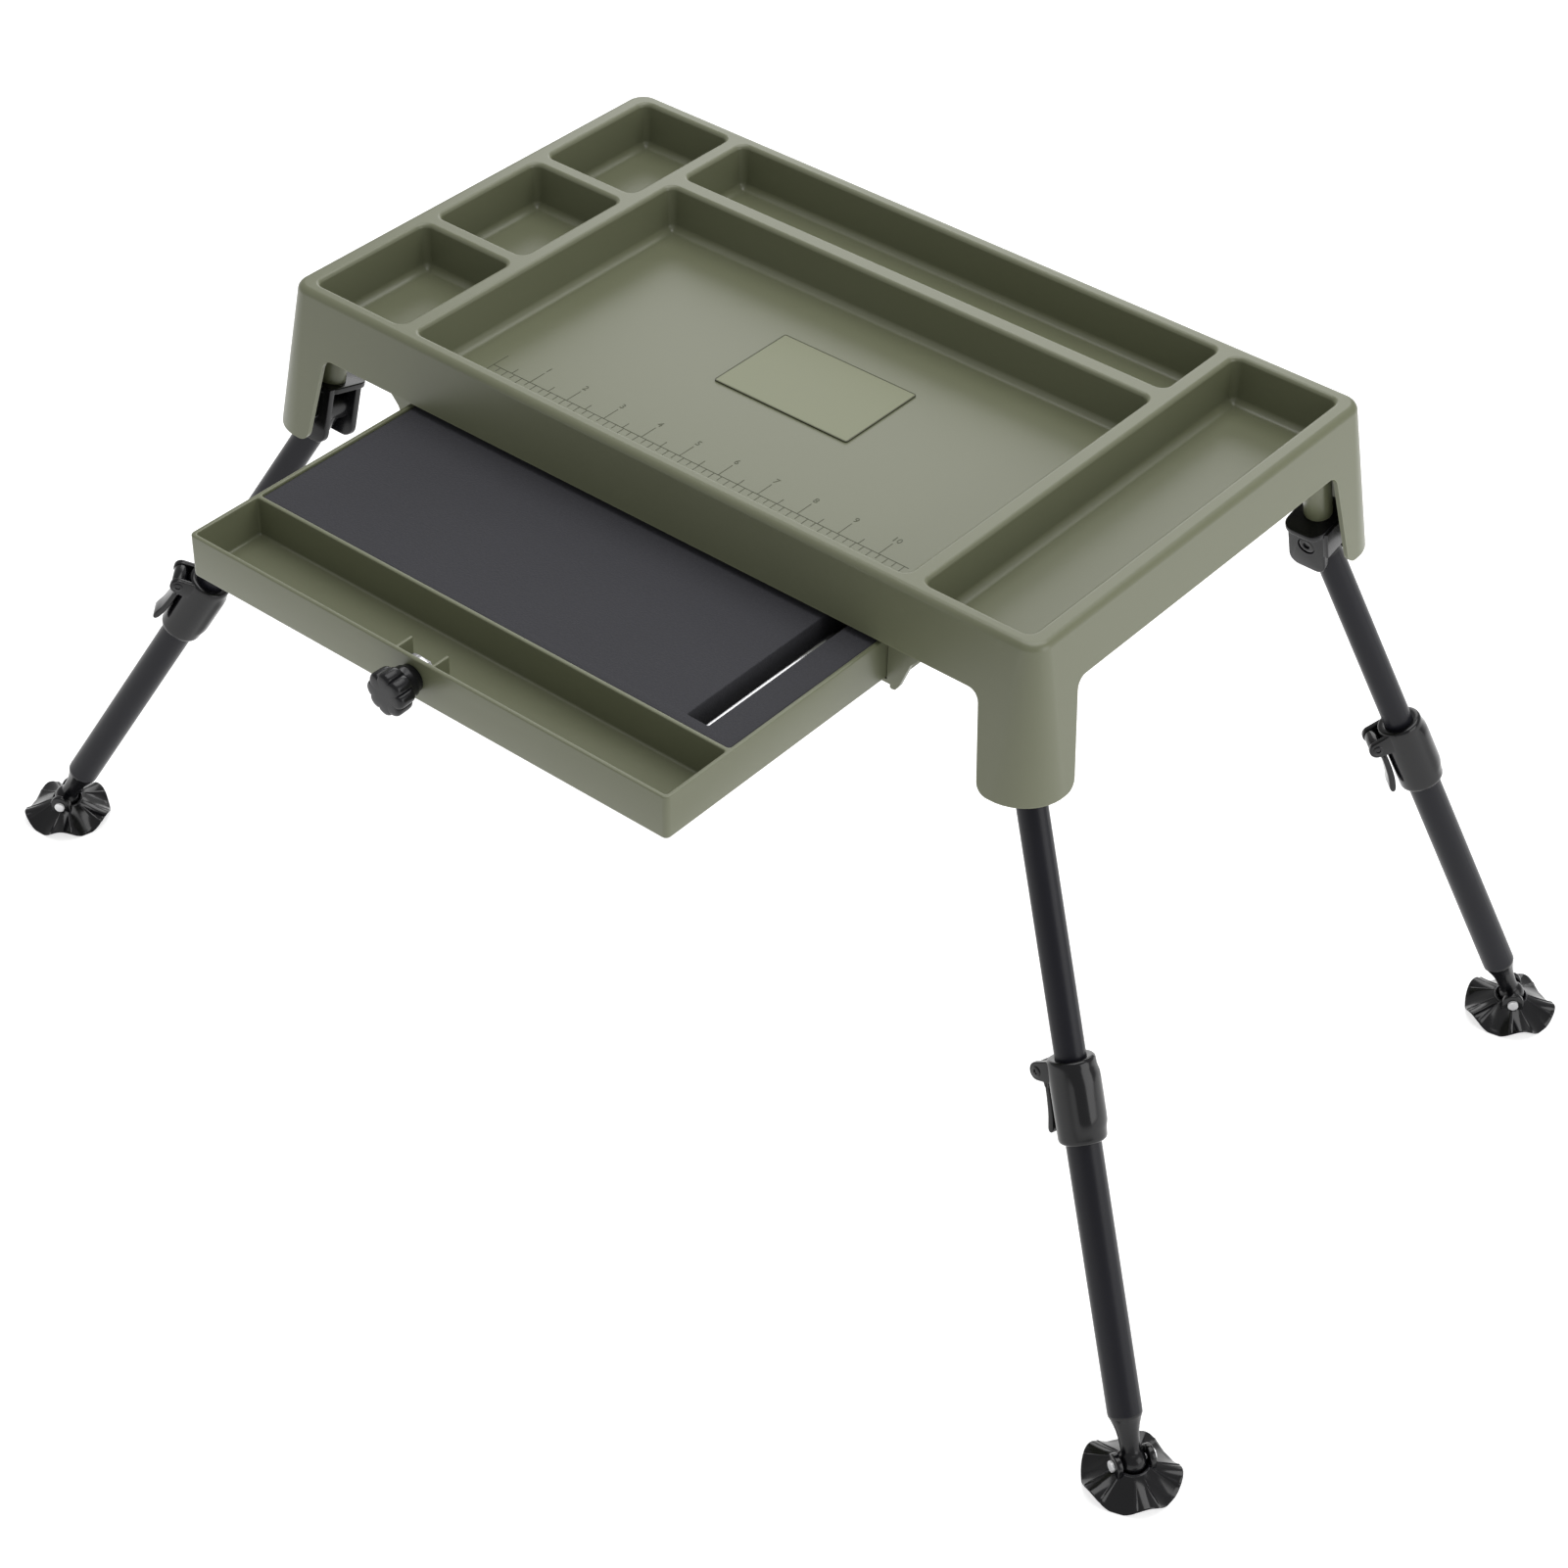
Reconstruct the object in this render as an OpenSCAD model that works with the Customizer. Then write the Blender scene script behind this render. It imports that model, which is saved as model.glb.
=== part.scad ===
// Folding field table: a moulded tray with six pockets, a drawer with a foam pad on
// runners below it, and four telescopic legs that fold in under the drawer.
// X runs from left to right, Y from front to back and Z up from the ground.

/* [Tray] */
// Length of the tray at its rim, left to right
tray_l = 484; // [470:1:510]
// Depth of the tray at its rim, front to back
tray_d = 276; // [268:1:292]
// Radius of the tray's corners, seen from above
tray_corner_r = 11; // [8:1:14]
// Rounding of the outer rim edge
rim_round = 3.5; // [2:0.5:4.5]
// Wall thickness of the moulded tray
wall = 2.5; // [2:0.1:3]
// Outward lean of the outer walls, per millimetre of depth
flare = 0.12; // [0.08:0.01:0.13]
// Depth of the front and rear skirts below the rim
front_skirt_h = 33; // [31:1:35]
// Depth of the left and right skirts below the rim
side_skirt_h = 29; // [28.6:0.2:34]
// Depth of the corner skirts below the rim
corner_skirt_h = 94; // [90:1:96]
// Width of each corner skirt along both faces
corner_skirt_w = 33; // [30:1:36]
// Rounding where a skirt meets a corner skirt, and at the corner skirts' lower corners
arch_round = 7; // [4:0.5:9]

/* [Pockets] */
// Width of the rim land at the left and right edges
land_x = 10; // [8:0.5:12]
// Width of the rim land at the front and rear edges
land_y = 8; // [6.5:0.5:10]
// Depth of the pockets below the rim
pocket_depth = 26; // [22:0.5:26]
// How far a pocket wall leans in over its depth
pocket_draft = 2.8; // [1.5:0.1:3.5]
// Fillet between the pocket walls and floors
floor_fillet = 4; // [2:0.5:5]
// Radius of the pocket corners, seen from above
pocket_corner_r = 6; // [5:0.5:8]
// Chamfer around the pocket edges at the rim
pocket_lip = 1.2; // [0.6:0.1:1.5]
// Width of the left and right pocket columns
side_pocket_w = 64; // [56:1:70]
// Width of the ridges beside the main pocket
column_ridge = 8; // [7:0.5:10]
// Width of the ridges between the small pockets
cell_ridge = 7.5; // [7:0.5:9]
// Depth, front to back, of the middle small pocket
mid_cell_d = 79; // [70:1:88]
// Depth, front to back, of the long rear pocket
rear_pocket_d = 51; // [44:1:58]
// Width of the ridge in front of the long rear pocket
rear_ridge = 9; // [7:0.5:10]

/* [Label plate] */
// Length of the bare label plate
label_l = 87; // [60:1:110]
// Depth of the label plate, front to back
label_d = 57; // [40:1:70]
// Thickness of the label plate
label_t = 0.8; // [0.5:0.1:1.5]
// Sideways place of the label plate's centre
label_x = 2.5; // [-20:0.5:20]
// Place of the label plate's centre, front to back, from the tray's middle
label_y = -4; // [-20:1:20]

/* [Drawer] */
// Outer width of the drawer
drawer_w = 309; // [290:1:316]
// Outer depth of the drawer, front to back
drawer_d = 252.5; // [235:0.5:254]
// Outer height of the drawer
drawer_h = 24.5; // [24.5:0.5:28]
// Wall and floor thickness of the drawer
drawer_wall = 2.5; // [2:0.1:3]
// Radius of the drawer's upright corners
drawer_corner_r = 3; // [2:0.5:5]
// Depth of the tray's rim above the drawer's upper edge
drawer_drop = 36; // [35.6:0.2:38]
// How far the drawer is pulled out
drawer_open = 155.5; // [0:0.5:160]
// Depth of the front compartment, front to back
front_cell_d = 41; // [30:0.5:50]
// Reach of the two stiffening ribs behind the drawer's front wall
rib_reach = 10; // [6:0.5:12]
// Thickness of the stiffening ribs
rib_t = 1.8; // [1.2:0.1:2.5]
// Distance from the knob's axis to each stiffening rib
rib_offset = 11.8; // [11.6:0.1:14]

/* [Runners] */
// Thickness of the runner walls
runner_t = 2.5; // [2:0.1:3]
// Side clearance between the drawer and each runner wall
runner_gap = 0.5; // [0.3:0.1:1]
// Reach of the runner ledge under the drawer
ledge_reach = 5; // [3:0.5:8]
// Thickness of the runner ledge
ledge_t = 2; // [1.5:0.1:3]
// Clearance between the drawer and the ledge
ledge_gap = 0.3; // [0.2:0.05:0.5]
// Reach of the gussets out from the runner wall
gusset_w = 22; // [16:1:25]
// Thickness of the gussets
gusset_t = 2.5; // [2:0.1:3.5]
// Depth of the gussets' tips below the drawer
gusset_drop = 4.5; // [3:0.5:5.5]
// Number of gussets along each runner
gusset_n = 4; // [2:1:6]

/* [Foam pad and rod] */
// Clearance between the foam pad and the drawer
foam_gap = 0.3; // [0.2:0.05:0.5]
// Depth of the foam's face below the drawer's upper edge
foam_recess = 1; // [0.5:0.5:4]
// Width of the slot in the foam
slot_w = 13; // [9:0.5:18]
// Length of the slot in the foam
slot_length = 180; // [120:1:185]
// Width of the foam left in front of the slot
slot_front = 7; // [6:0.5:12]
// Width of the foam left beside the slot, on its right
slot_side = 18.5; // [12:0.5:24]
// Radius of the steel rod at its front end
rod_front_r = 0.9; // [0.6:0.1:1.4]
// Radius of the steel rod at its rear end
rod_rear_r = 1.9; // [1.5:0.1:2.5]
// Depth of the rod's axis below the foam's face
rod_depth = 7; // [5:0.5:12]
// Distance from the slot's right side to the rod's axis
rod_side = 5; // [3.5:0.5:6]
// Length of each rod end that sits in the foam
rod_seat = 5; // [3:0.5:6]

/* [Knob] */
// Mean radius of the knob's head
knob_r = 9.3; // [8.5:0.1:10]
// Height of the knob's lobes
knob_lobe = 0.7; // [0.4:0.1:1]
// Number of lobes around the knob
knob_lobes = 8; // [5:1:10]
// Thickness of the knob's head
knob_t = 14; // [12:0.5:16]
// Radius of the knob's neck
knob_neck_r = 6; // [5:0.5:7.5]
// Length of the knob's neck
knob_neck_l = 5.5; // [4:0.5:7]
// Depth of the drawer's upper edge above the knob's axis
knob_drop = 11.5; // [11:0.1:11.6]
// Sideways place of the knob's axis
knob_x = -3.5; // [-10:0.5:10]
// Radius of the knob's bolt
bolt_r = 3; // [2.5:0.1:3.5]
// Outer radius of the washer
washer_r = 10.2; // [8:0.1:10.3]
// Thickness of the washer
washer_t = 2.5; // [1.5:0.1:3]
// Width of the nut across its flats
nut_flats = 10; // [9:0.5:11]
// Thickness of the nut
nut_t = 4.5; // [3:0.5:5]

/* [Leg hinges] */
// Distance from the tray's left or right edge in to the hinges
hinge_in_x = 10; // [8:0.5:13]
// Distance from the tray's front or rear edge in to the hinges
hinge_in_y = 12; // [10:0.5:15]
// Depth of the tray's rim above the hinges
hinge_drop = 78; // [76:0.5:80]
// Lean of the legs to the front or the back, in degrees
leg_lean = 15; // [12:0.5:16]
// Height of the hinges above the balls' centres
leg_drop = 308.5; // [300:0.5:312]
// Outward lean of the open front left leg, in degrees
leg_open_fl = 27.4; // [18:0.2:27.6]
// Outward lean of the open front right leg, in degrees
leg_open_fr = 25.2; // [18:0.2:27.6]
// Outward lean of the open rear left leg, in degrees
leg_open_rl = 24; // [18:0.2:27.6]
// Outward lean of the open rear right leg, in degrees
leg_open_rr = 20.2; // [18:0.2:27.6]
// Half the gap between the cheeks of a bracket
cheek_gap = 8.2; // [8.1:0.1:9]
// Thickness of the bracket's cheeks
cheek_t = 4; // [3:0.1:4.2]
// Half the width of the bracket's cheeks
cheek_half_w = 11; // [10:0.5:12]
// Reach of the cheeks below the hinge
cheek_reach = 20; // [16:0.5:21]
// Size of the cheeks' cut lower corners
cheek_cut = 5; // [3:0.5:7]
// Height of the bracket's plate above the hinge
plate_rise = 12; // [10.5:0.5:13]
// Thickness of the bracket's plate
plate_t = 3.5; // [2.5:0.1:4]
// Thickness of the bracket's outer stop wall
stop_t = 2.2; // [1.5:0.1:2.6]
// Depth of the stop wall below the hinge
stop_reach = 2.5; // [0:0.5:3]
// Radius of the hinge pin
pin_r = 3; // [2.5:0.1:3.5]
// Radius of the hinge pin's heads
pin_head_r = 4.8; // [4.2:0.1:5]
// Depth of the recess round each hinge pin head
pin_recess = 1.6; // [1.2:0.1:2]
// Radius of the tray's screw bosses
boss_r = 7.5; // [6.5:0.5:8]
// Radius of the bracket screws
screw_r = 2; // [1.5:0.1:2.5]
// Radius of the bracket screws' heads
screw_head_r = 4; // [3.5:0.1:4.5]
// Thickness of the bracket screws' heads
screw_head_t = 1.6; // [1:0.1:1.8]
// Length of a bracket screw in its boss
screw_l = 14; // [8:1:18]

/* [Leg tubes] */
// Distance along a leg from its hinge to the ball's centre, at its middle draw
leg_reach = 353; // [345:1:360]
// Outer radius of the upper tube
upper_r = 7.75; // [7.2:0.05:7.9]
// Wall thickness of the upper tube
upper_wall = 0.8; // [0.6:0.1:1.2]
// Distance along a leg from its hinge to the upper tube's lower end
upper_end = 196; // [186:1:198]
// Length of the knuckle's head along the leg
knuckle_l = 12; // [10:0.5:16]
// Length of the knuckle's plug inside the upper tube
plug_l = 22; // [14:1:30]
// Running clearance between tubes, pins and bores
fit_gap = 0.05; // [0.03:0.01:0.08]
// Clearance between pieces that are held in each other
seat_gap = 0.02; // [0.01:0.01:0.04]
// Wall thickness of the lower tube
lower_wall = 1; // [0.8:0.1:1.4]
// Distance along a leg from the lower tube's end to the ball's centre
tube_to_ball = 26; // [24:0.5:30]

/* [Clamp collars and levers] */
// Distance along a leg from its hinge to the collar's upper face, at its middle draw
collar_top = 144; // [140:1:150]
// Length of the collar
collar_l = 42; // [38:1:46]
// Wall thickness of the collar around the lower tube
collar_wall = 3.2; // [2.8:0.1:3.6]
// Length of the collar's narrow grip above the lower tube
grip_l = 8; // [6:0.5:12]
// Distance from the collar's upper face down to the lever's pivot
pivot_down = 7; // [6:0.5:8]
// Distance from the leg's axis to the lever's pivot
pivot_out = 16; // [15.5:0.1:17]
// Outer radius of the ears around the pivot
ear_r = 4; // [3.6:0.1:4.5]
// Half the gap between the ears
ear_gap = 4; // [3:0.1:5]
// Thickness of each ear
ear_t = 3; // [2:0.1:3.5]
// Radius of the lever pin
lever_pin_r = 1.5; // [1.2:0.1:1.8]
// Reach of the lever's blade below the pivot
lever_l = 31; // [26:1:33]
// Curl of the lever's tip away from the leg
lever_curl = 5; // [3:0.5:6]
// Thickness of the lever's blade
blade_t = 3; // [2.5:0.1:3.5]
// Half the width of the lever's blade
blade_half_w = 5.5; // [4.5:0.1:6.5]
// Width of the slit in the collar's grip
slit_w = 2; // [1:0.1:3]
// Turn of the front left lever about its leg, in degrees
lever_fl = 224; // [200:1:240]
// Turn of the front right lever about its leg, in degrees
lever_fr = 168; // [150:1:200]
// Turn of the rear left lever about its leg, in degrees
lever_rl = -50; // [-70:1:-30]
// Turn of the rear right lever about its leg, in degrees
lever_rr = 230; // [200:1:240]

/* [Feet] */
// Height of the ball's centre above the ground
ball_h = 13.5; // [13:0.1:15]
// Radius of the ball
ball_r = 7; // [6.5:0.1:7.2]
// Radius of the stud's neck
neck_r = 5.6; // [5:0.1:6]
// Length of the stud's plug inside the lower tube
stud_plug_l = 18; // [12:1:19]
// Length of the stud's cone below the tube
stud_cone_l = 6; // [4:0.5:8]
// Radius of the foot
foot_r = 22.5; // [21:0.5:25]
// Number of folds around the foot
foot_folds = 6; // [5:1:8]
// Height of the folds at the foot's edge
fold_h = 5; // [3:0.5:6]
// Thickness of the foot's skin
skin_t = 2.2; // [1.8:0.1:3]
// Depth of the flats worn on the folds where they meet the ground
fold_flat = 0.4; // [0.2:0.1:0.8]
// Height of the foot's crown around the hub
crown_h = 8.5; // [7:0.5:9]
// Radius of the foot's hub
hub_r = 11; // [10.8:0.1:12]
// Clearance between the ball and the foot's lugs
lug_gap = 0.3; // [0.2:0.05:0.4]
// Thickness of the foot's lugs
lug_t = 3.4; // [2.6:0.1:3.6]
// Half the width of the foot's lugs
lug_half_w = 6; // [5:0.5:6.5]
// Radius of the foot screw
foot_pin_r = 1.6; // [1.2:0.1:1.8]
// Radius of the foot screw's head
foot_head_r = 2.9; // [2.4:0.1:3.2]
// Thickness of the foot screw's head
foot_head_t = 1.4; // [1:0.1:2]

/* [Hidden] */

$fn = 48;
// Points along each rounded corner of the tray and its pockets
corner_n = 5;
// A small overlap that lets cuts pass clear of a face
eps = 0.5;

// Legs: side left or right, side front or rear, turn of the lever, outward lean
FL = [-1, -1, lever_fl, leg_open_fl];
FR = [1, -1, lever_fr, leg_open_fr];
RL = [-1, 1, lever_rl, leg_open_rl];
RR = [1, 1, lever_rr, leg_open_rr];

hinge_z = leg_drop + ball_h;
rim_z = hinge_z + hinge_drop;
pocket_z = rim_z - pocket_depth;
under_z = pocket_z - wall;
skirt_bottom = rim_z - corner_skirt_h;

half_l = tray_l / 2;
half_d = tray_d / 2;
hinge_x = half_l - hinge_in_x;
hinge_y = half_d - hinge_in_y;
cell_x0 = -half_l + land_x;
cell_x1 = cell_x0 + side_pocket_w;
main_x0 = cell_x1 + column_ridge;
front_y = -half_d + land_y;
rear_y = half_d - land_y;
long_y0 = rear_y - rear_pocket_d;
main_y1 = long_y0 - rear_ridge;
mid_y = mid_cell_d / 2;
// Each pocket: its left, right, front and rear edges at the rim
POCKETS = [
    [cell_x0, cell_x1, front_y, -mid_y - cell_ridge],
    [cell_x0, cell_x1, -mid_y, mid_y],
    [cell_x0, cell_x1, mid_y + cell_ridge, rear_y],
    [main_x0, -main_x0, front_y, main_y1],
    [main_x0, -main_x0, long_y0, rear_y],
    [-cell_x1, -cell_x0, front_y, rear_y]
];

drawer_top = rim_z - drawer_drop;
drawer_bottom = drawer_top - drawer_h;
drawer_front = -half_d - drawer_open;
drawer_rear = drawer_front + drawer_d;
divider_y = drawer_front + drawer_wall + front_cell_d;
drawer_half = drawer_w / 2;
runner_in = drawer_half + runner_gap;
runner_out = runner_in + runner_t;
ledge_top = drawer_bottom - ledge_gap;
gusset_low = drawer_bottom - gusset_drop;
runner_top = under_z + wall * 0.8;
runner_y0 = -half_d + wall;
runner_y1 = half_d - wall;

foam_top = drawer_top - foam_recess;
foam_x = drawer_half - drawer_wall - foam_gap;
foam_y0 = divider_y + drawer_wall + foam_gap;
foam_y1 = drawer_rear - drawer_wall - foam_gap;
slot_x1 = foam_x - slot_side;
slot_x0 = slot_x1 - slot_w;
slot_y0 = foam_y0 + slot_front;
slot_y1 = slot_y0 + slot_length;
rod_x = slot_x1 - rod_side;
rod_z = foam_top - rod_depth;

knob_z = drawer_top - knob_drop;
wall_in_y = drawer_front + drawer_wall;
knob_back = drawer_front - fit_gap;
knob_head = knob_back - knob_neck_l;
knob_face = knob_head - knob_t;
nut_y = wall_in_y + washer_t + 2 * fit_gap;

lower_in = upper_r + fit_gap;
lower_r = lower_in + lower_wall;
collar_r = lower_r + seat_gap + collar_wall;
collar_bottom = collar_top + collar_l;
lower_top = collar_top + grip_l;
lower_end = leg_reach - tube_to_ball;
pivot_s = collar_top + pivot_down;
ear_half = ear_gap + ear_t;
stud_r = lower_in - fit_gap;
plate_top = plate_rise + plate_t;
cheek_out = cheek_gap + cheek_t;
lug_in = ball_r + lug_gap;
lug_out = lug_in + lug_t;

// The table is centred on its own outline: from the left feet to the right feet, and
// from the knob to the rear feet
rear_reach = hinge_y + leg_drop * tan(leg_lean) + foot_r;
shift_x = (foot_out(max(leg_open_fl, leg_open_rl)) - foot_out(max(leg_open_fr, leg_open_rr))) / 2;
shift_y = (-knob_face - rear_reach) / 2;

GREEN = [0.36, 0.38, 0.29];
BLACK = [0.09, 0.09, 0.1];
STEEL = [0.75, 0.75, 0.77];

// Distance from the tray's middle to a foot's outer edge, for a leg's outward lean
function foot_out(open) = hinge_x + leg_drop * tan(open) / cos(leg_lean) + foot_r;

// Distance along a leg from its hinge to the ball's centre, as it stands
function reach(leg) = leg_drop / (cos(leg[3]) * cos(leg_lean));

// Turn of a foot's screw about the upright, square to the way its leg leans
function foot_turn(leg) = atan2(cos(leg[3]) * sin(leg_lean), sin(leg[3]));

// One ring of a rounded rectangle, counter-clockwise from the right
function ring(hx, hy, r, z) = [
    for (q = [0:3])
        for (k = [0:corner_n])
            let (a = 90 * q + 90 * k / corner_n)
            let (sx = (q == 0 || q == 3) ? 1 : -1)
            let (sy = (q < 2) ? 1 : -1)
            [sx * (hx - r) + r * cos(a), sy * (hy - r) + r * sin(a), z]
];

// A closed body through rings of equal point counts, from the lowest up
module ring_stack(rings) {
    m = len(rings[0]);
    last = (len(rings) - 1) * m;
    sides = [
        for (j = [0:len(rings) - 2])
            for (i = [0:m - 1])
                let (k = (i + 1) % m)
                [j * m + i, (j + 1) * m + i, (j + 1) * m + k, j * m + k]
    ];
    polyhedron(
        points = [for (r = rings) each r],
        faces = concat([[for (i = [0:m - 1]) i]], sides, [[for (i = [m - 1:-1:0]) last + i]])
    );
}

// The tray's outer body, grown or shrunk by inset, down to the corner skirts
module tray_body(inset, top, bottom, edge_r) {
    lean = flare * (rim_z - bottom);
    hx = half_l - inset;
    hy = half_d - inset;
    r = tray_corner_r - inset;
    low = ring(hx + lean, hy + lean, r + lean, bottom);
    edge = [
        for (a = [0:30:90])
            let (g = flare * (rim_z - top + edge_r * (1 - sin(a))) - edge_r * (1 - cos(a)))
            ring(hx + g, hy + g, r + g, top - edge_r * (1 - sin(a)))
    ];
    flat = ring(hx + flare * (rim_z - top), hy + flare * (rim_z - top), r, top);
    ring_stack(edge_r > 0 ? concat([low], edge) : [low, flat]);
}

// A pocket's space: its plan edges p, grown all round by grow, from its floor up to top
module pocket_body(p, grow, top) {
    hx = (p[1] - p[0]) / 2 + grow;
    hy = (p[3] - p[2]) / 2 + grow;
    r = pocket_corner_r + grow;
    low = pocket_z - grow;
    f = floor_fillet + grow;
    rise = pocket_draft / pocket_depth;
    fillet = [
        for (a = [0:30:90])
            let (z = low + f * (1 - cos(a)))
            let (g = f * (1 - sin(a)) + rise * (rim_z - z))
            ring(hx - g, hy - g, max(r - g, 1), z)
    ];
    upper = ring(hx - rise * (rim_z - top), hy - rise * (rim_z - top), r, top);
    translate([(p[0] + p[1]) / 2, (p[2] + p[3]) / 2, 0])
        ring_stack(concat(fillet, [upper]));
}

// The chamfer around a pocket's edge at the rim
module pocket_edge(p) {
    hx = (p[1] - p[0]) / 2;
    hy = (p[3] - p[2]) / 2;
    r = pocket_corner_r;
    g = pocket_lip + eps;
    translate([(p[0] + p[1]) / 2, (p[2] + p[3]) / 2, 0])
        ring_stack([ring(hx - eps, hy - eps, r - eps, rim_z - pocket_lip - eps),
            ring(hx + g, hy + g, r + g, rim_z + eps)]);
}

// Half the outline of the opening between two corner skirts: half is the half width at
// the rim, skirt the depth of the skirt above the opening
function arch_side(half, skirt) = let (
        r = arch_round,
        tilt = atan(flare),
        x_top = half - corner_skirt_w + flare * skirt,
        x_low = half - corner_skirt_w + flare * corner_skirt_h,
        z_top = rim_z - skirt,
        t1 = r * tan((90 - tilt) / 2),
        t2 = r * tan((90 + tilt) / 2)
    ) concat(
        [for (a = [90:-15:tilt]) [x_top - t1 + r * cos(a) * 1, z_top - r + r * sin(a)]],
        [[x_low - flare * t2, skirt_bottom + t2]],
        [for (a = [180 - tilt:15:255]) [x_low + r + r * cos(a), skirt_bottom + r + r * sin(a)]],
        [[x_low + r, skirt_bottom - 2 * eps]]
    );

// The opening between two corner skirts, cut straight through the table
module arch(half, skirt, reach) {
    side = arch_side(half, skirt);
    n = len(side);
    other = [for (i = [n - 1:-1:0]) [-side[i][0], side[i][1]]];
    rotate([90, 0, 0])
        linear_extrude(height = 2 * reach, center = true)
            polygon(concat(other, side));
}

// Places a hinge's own frame: X left to right, Y along the pin, Z up the bracket
module at_hinge(leg) {
    translate([leg[0] * hinge_x, leg[1] * hinge_y, hinge_z])
        rotate([leg[1] * leg_lean, 0, 0])
            children();
}

// Places a leg's own frame: Z runs back up the leg to the hinge
module at_leg(leg) {
    at_hinge(leg)
        rotate([0, -leg[0] * leg[3], 0])
            children();
}

// Places the leg's frame for the parts that slide with the lower tube
module at_lower(leg) {
    at_leg(leg)
        translate([0, 0, leg_reach - reach(leg)])
            children();
}

// Places a foot's own frame at the ball's centre: Y along the foot's screw
module at_foot(leg) {
    at_leg(leg)
        translate([0, 0, -reach(leg)])
            rotate([0, leg[0] * leg[3], 0])
                rotate([-leg[1] * leg_lean, 0, 0])
                    rotate([0, 0, (leg[0] * leg[1] > 0 ? 1 : -1) * foot_turn(leg)])
                        children();
}

// A cylinder along a leg between two distances from the hinge
module shaft(r, s0, s1) {
    translate([0, 0, -s1])
        cylinder(r = r, h = s1 - s0);
}

module box(x0, x1, y0, y1, z0, z1) {
    translate([x0, y0, z0])
        cube([x1 - x0, y1 - y0, z1 - z0]);
}

// A pin along Y between two places
module pin(r, y0, y1) {
    translate([0, y1, 0])
        rotate([90, 0, 0])
            cylinder(r = r, h = y1 - y0);
}

// A box with rounded upright corners
module round_box(x0, x1, y0, y1, z0, z1, r) {
    box(x0 + r, x1 - r, y0, y1, z0, z1);
    box(x0, x1, y0 + r, y1 - r, z0, z1);
    for (x = [x0 + r, x1 - r])
        for (y = [y0 + r, y1 - r])
            translate([x, y, z0])
                cylinder(r = r, h = z1 - z0);
}

module placed() {
    translate([shift_x, shift_y, 0])
        children();
}

module runner(side) {
    x0 = side > 0 ? runner_in : -runner_out;
    box(x0, x0 + runner_t, runner_y0, runner_y1, ledge_top - ledge_t, runner_top);
    lx = side > 0 ? drawer_half - ledge_reach : -runner_in;
    box(lx, lx + ledge_reach + runner_gap, runner_y0, runner_y1, ledge_top - ledge_t, ledge_top);
    pitch = (runner_y1 - runner_y0 - gusset_t) / (gusset_n - 1);
    for (i = [0:gusset_n - 1])
        translate([0, runner_y0 + gusset_t + i * pitch, 0])
            rotate([90, 0, 0])
                linear_extrude(height = gusset_t)
                    polygon([
                        [side * (runner_out - eps), runner_top],
                        [side * (runner_out - eps), gusset_low],
                        [side * (runner_out + gusset_w * 0.15), gusset_low],
                        [side * (runner_out + gusset_w * 0.6), drawer_top - drawer_h * 0.29],
                        [side * (runner_out + gusset_w), under_z - wall],
                        [side * (runner_out + gusset_w), runner_top]
                    ]);
}

module boss(leg) {
    intersection() {
        at_hinge(leg)
            translate([0, 0, plate_top])
                difference() {
                    cylinder(r = boss_r, h = hinge_drop);
                    translate([0, 0, -eps])
                        cylinder(r = screw_r + seat_gap, h = screw_l + 2 * eps);
                }
        box(-half_l, half_l, -half_d - wall, half_d + wall, skirt_bottom, rim_z - wall / 2);
    }
}

module tray() {
    color(GREEN)
        placed()
            difference() {
                union() {
                    difference() {
                        tray_body(0, rim_z, skirt_bottom, rim_round);
                        difference() {
                            tray_body(wall, rim_z - wall, skirt_bottom - eps, 0);
                            for (p = POCKETS)
                                pocket_body(p, wall, rim_z - wall / 2);
                        }
                        arch(half_l, front_skirt_h, half_d + corner_skirt_w);
                        rotate([0, 0, 90])
                            arch(half_d, side_skirt_h, half_l + corner_skirt_w);
                    }
                    runner(1);
                    runner(-1);
                    for (leg = [FL, FR, RL, RR])
                        boss(leg);
                }
                for (p = POCKETS) {
                    pocket_body(p, 0, rim_z + eps);
                    pocket_edge(p);
                }
            }
}

module label_plate() {
    color([0.5, 0.53, 0.4])
        placed()
            translate([label_x, label_y, 0])
                round_box(-label_l / 2, label_l / 2, -label_d / 2, label_d / 2,
                    pocket_z, pocket_z + label_t, 1);
}

module drawer_rib(x) {
    box(x - rib_t / 2, x + rib_t / 2, wall_in_y - eps, wall_in_y + rib_reach,
        drawer_bottom + drawer_wall - eps, drawer_top);
}

module drawer() {
    color(GREEN)
        placed() {
            difference() {
                round_box(-drawer_half, drawer_half, drawer_front, drawer_rear,
                    drawer_bottom, drawer_top, drawer_corner_r);
                box(-drawer_half + drawer_wall, drawer_half - drawer_wall,
                    wall_in_y, divider_y, drawer_bottom + drawer_wall, drawer_top + eps);
                box(-drawer_half + drawer_wall, drawer_half - drawer_wall,
                    divider_y + drawer_wall, drawer_rear - drawer_wall,
                    drawer_bottom + drawer_wall, drawer_top + eps);
                translate([knob_x, 0, knob_z])
                    pin(bolt_r + fit_gap, drawer_front - eps, wall_in_y + eps);
            }
            drawer_rib(knob_x - rib_offset);
            drawer_rib(knob_x + rib_offset);
        }
}

module rod(grow) {
    translate([rod_x, slot_y0 - rod_seat, rod_z])
        rotate([-90, 0, 0])
            cylinder(r1 = rod_front_r + grow, r2 = rod_rear_r + grow, h = slot_length + 2 * rod_seat);
}

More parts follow.
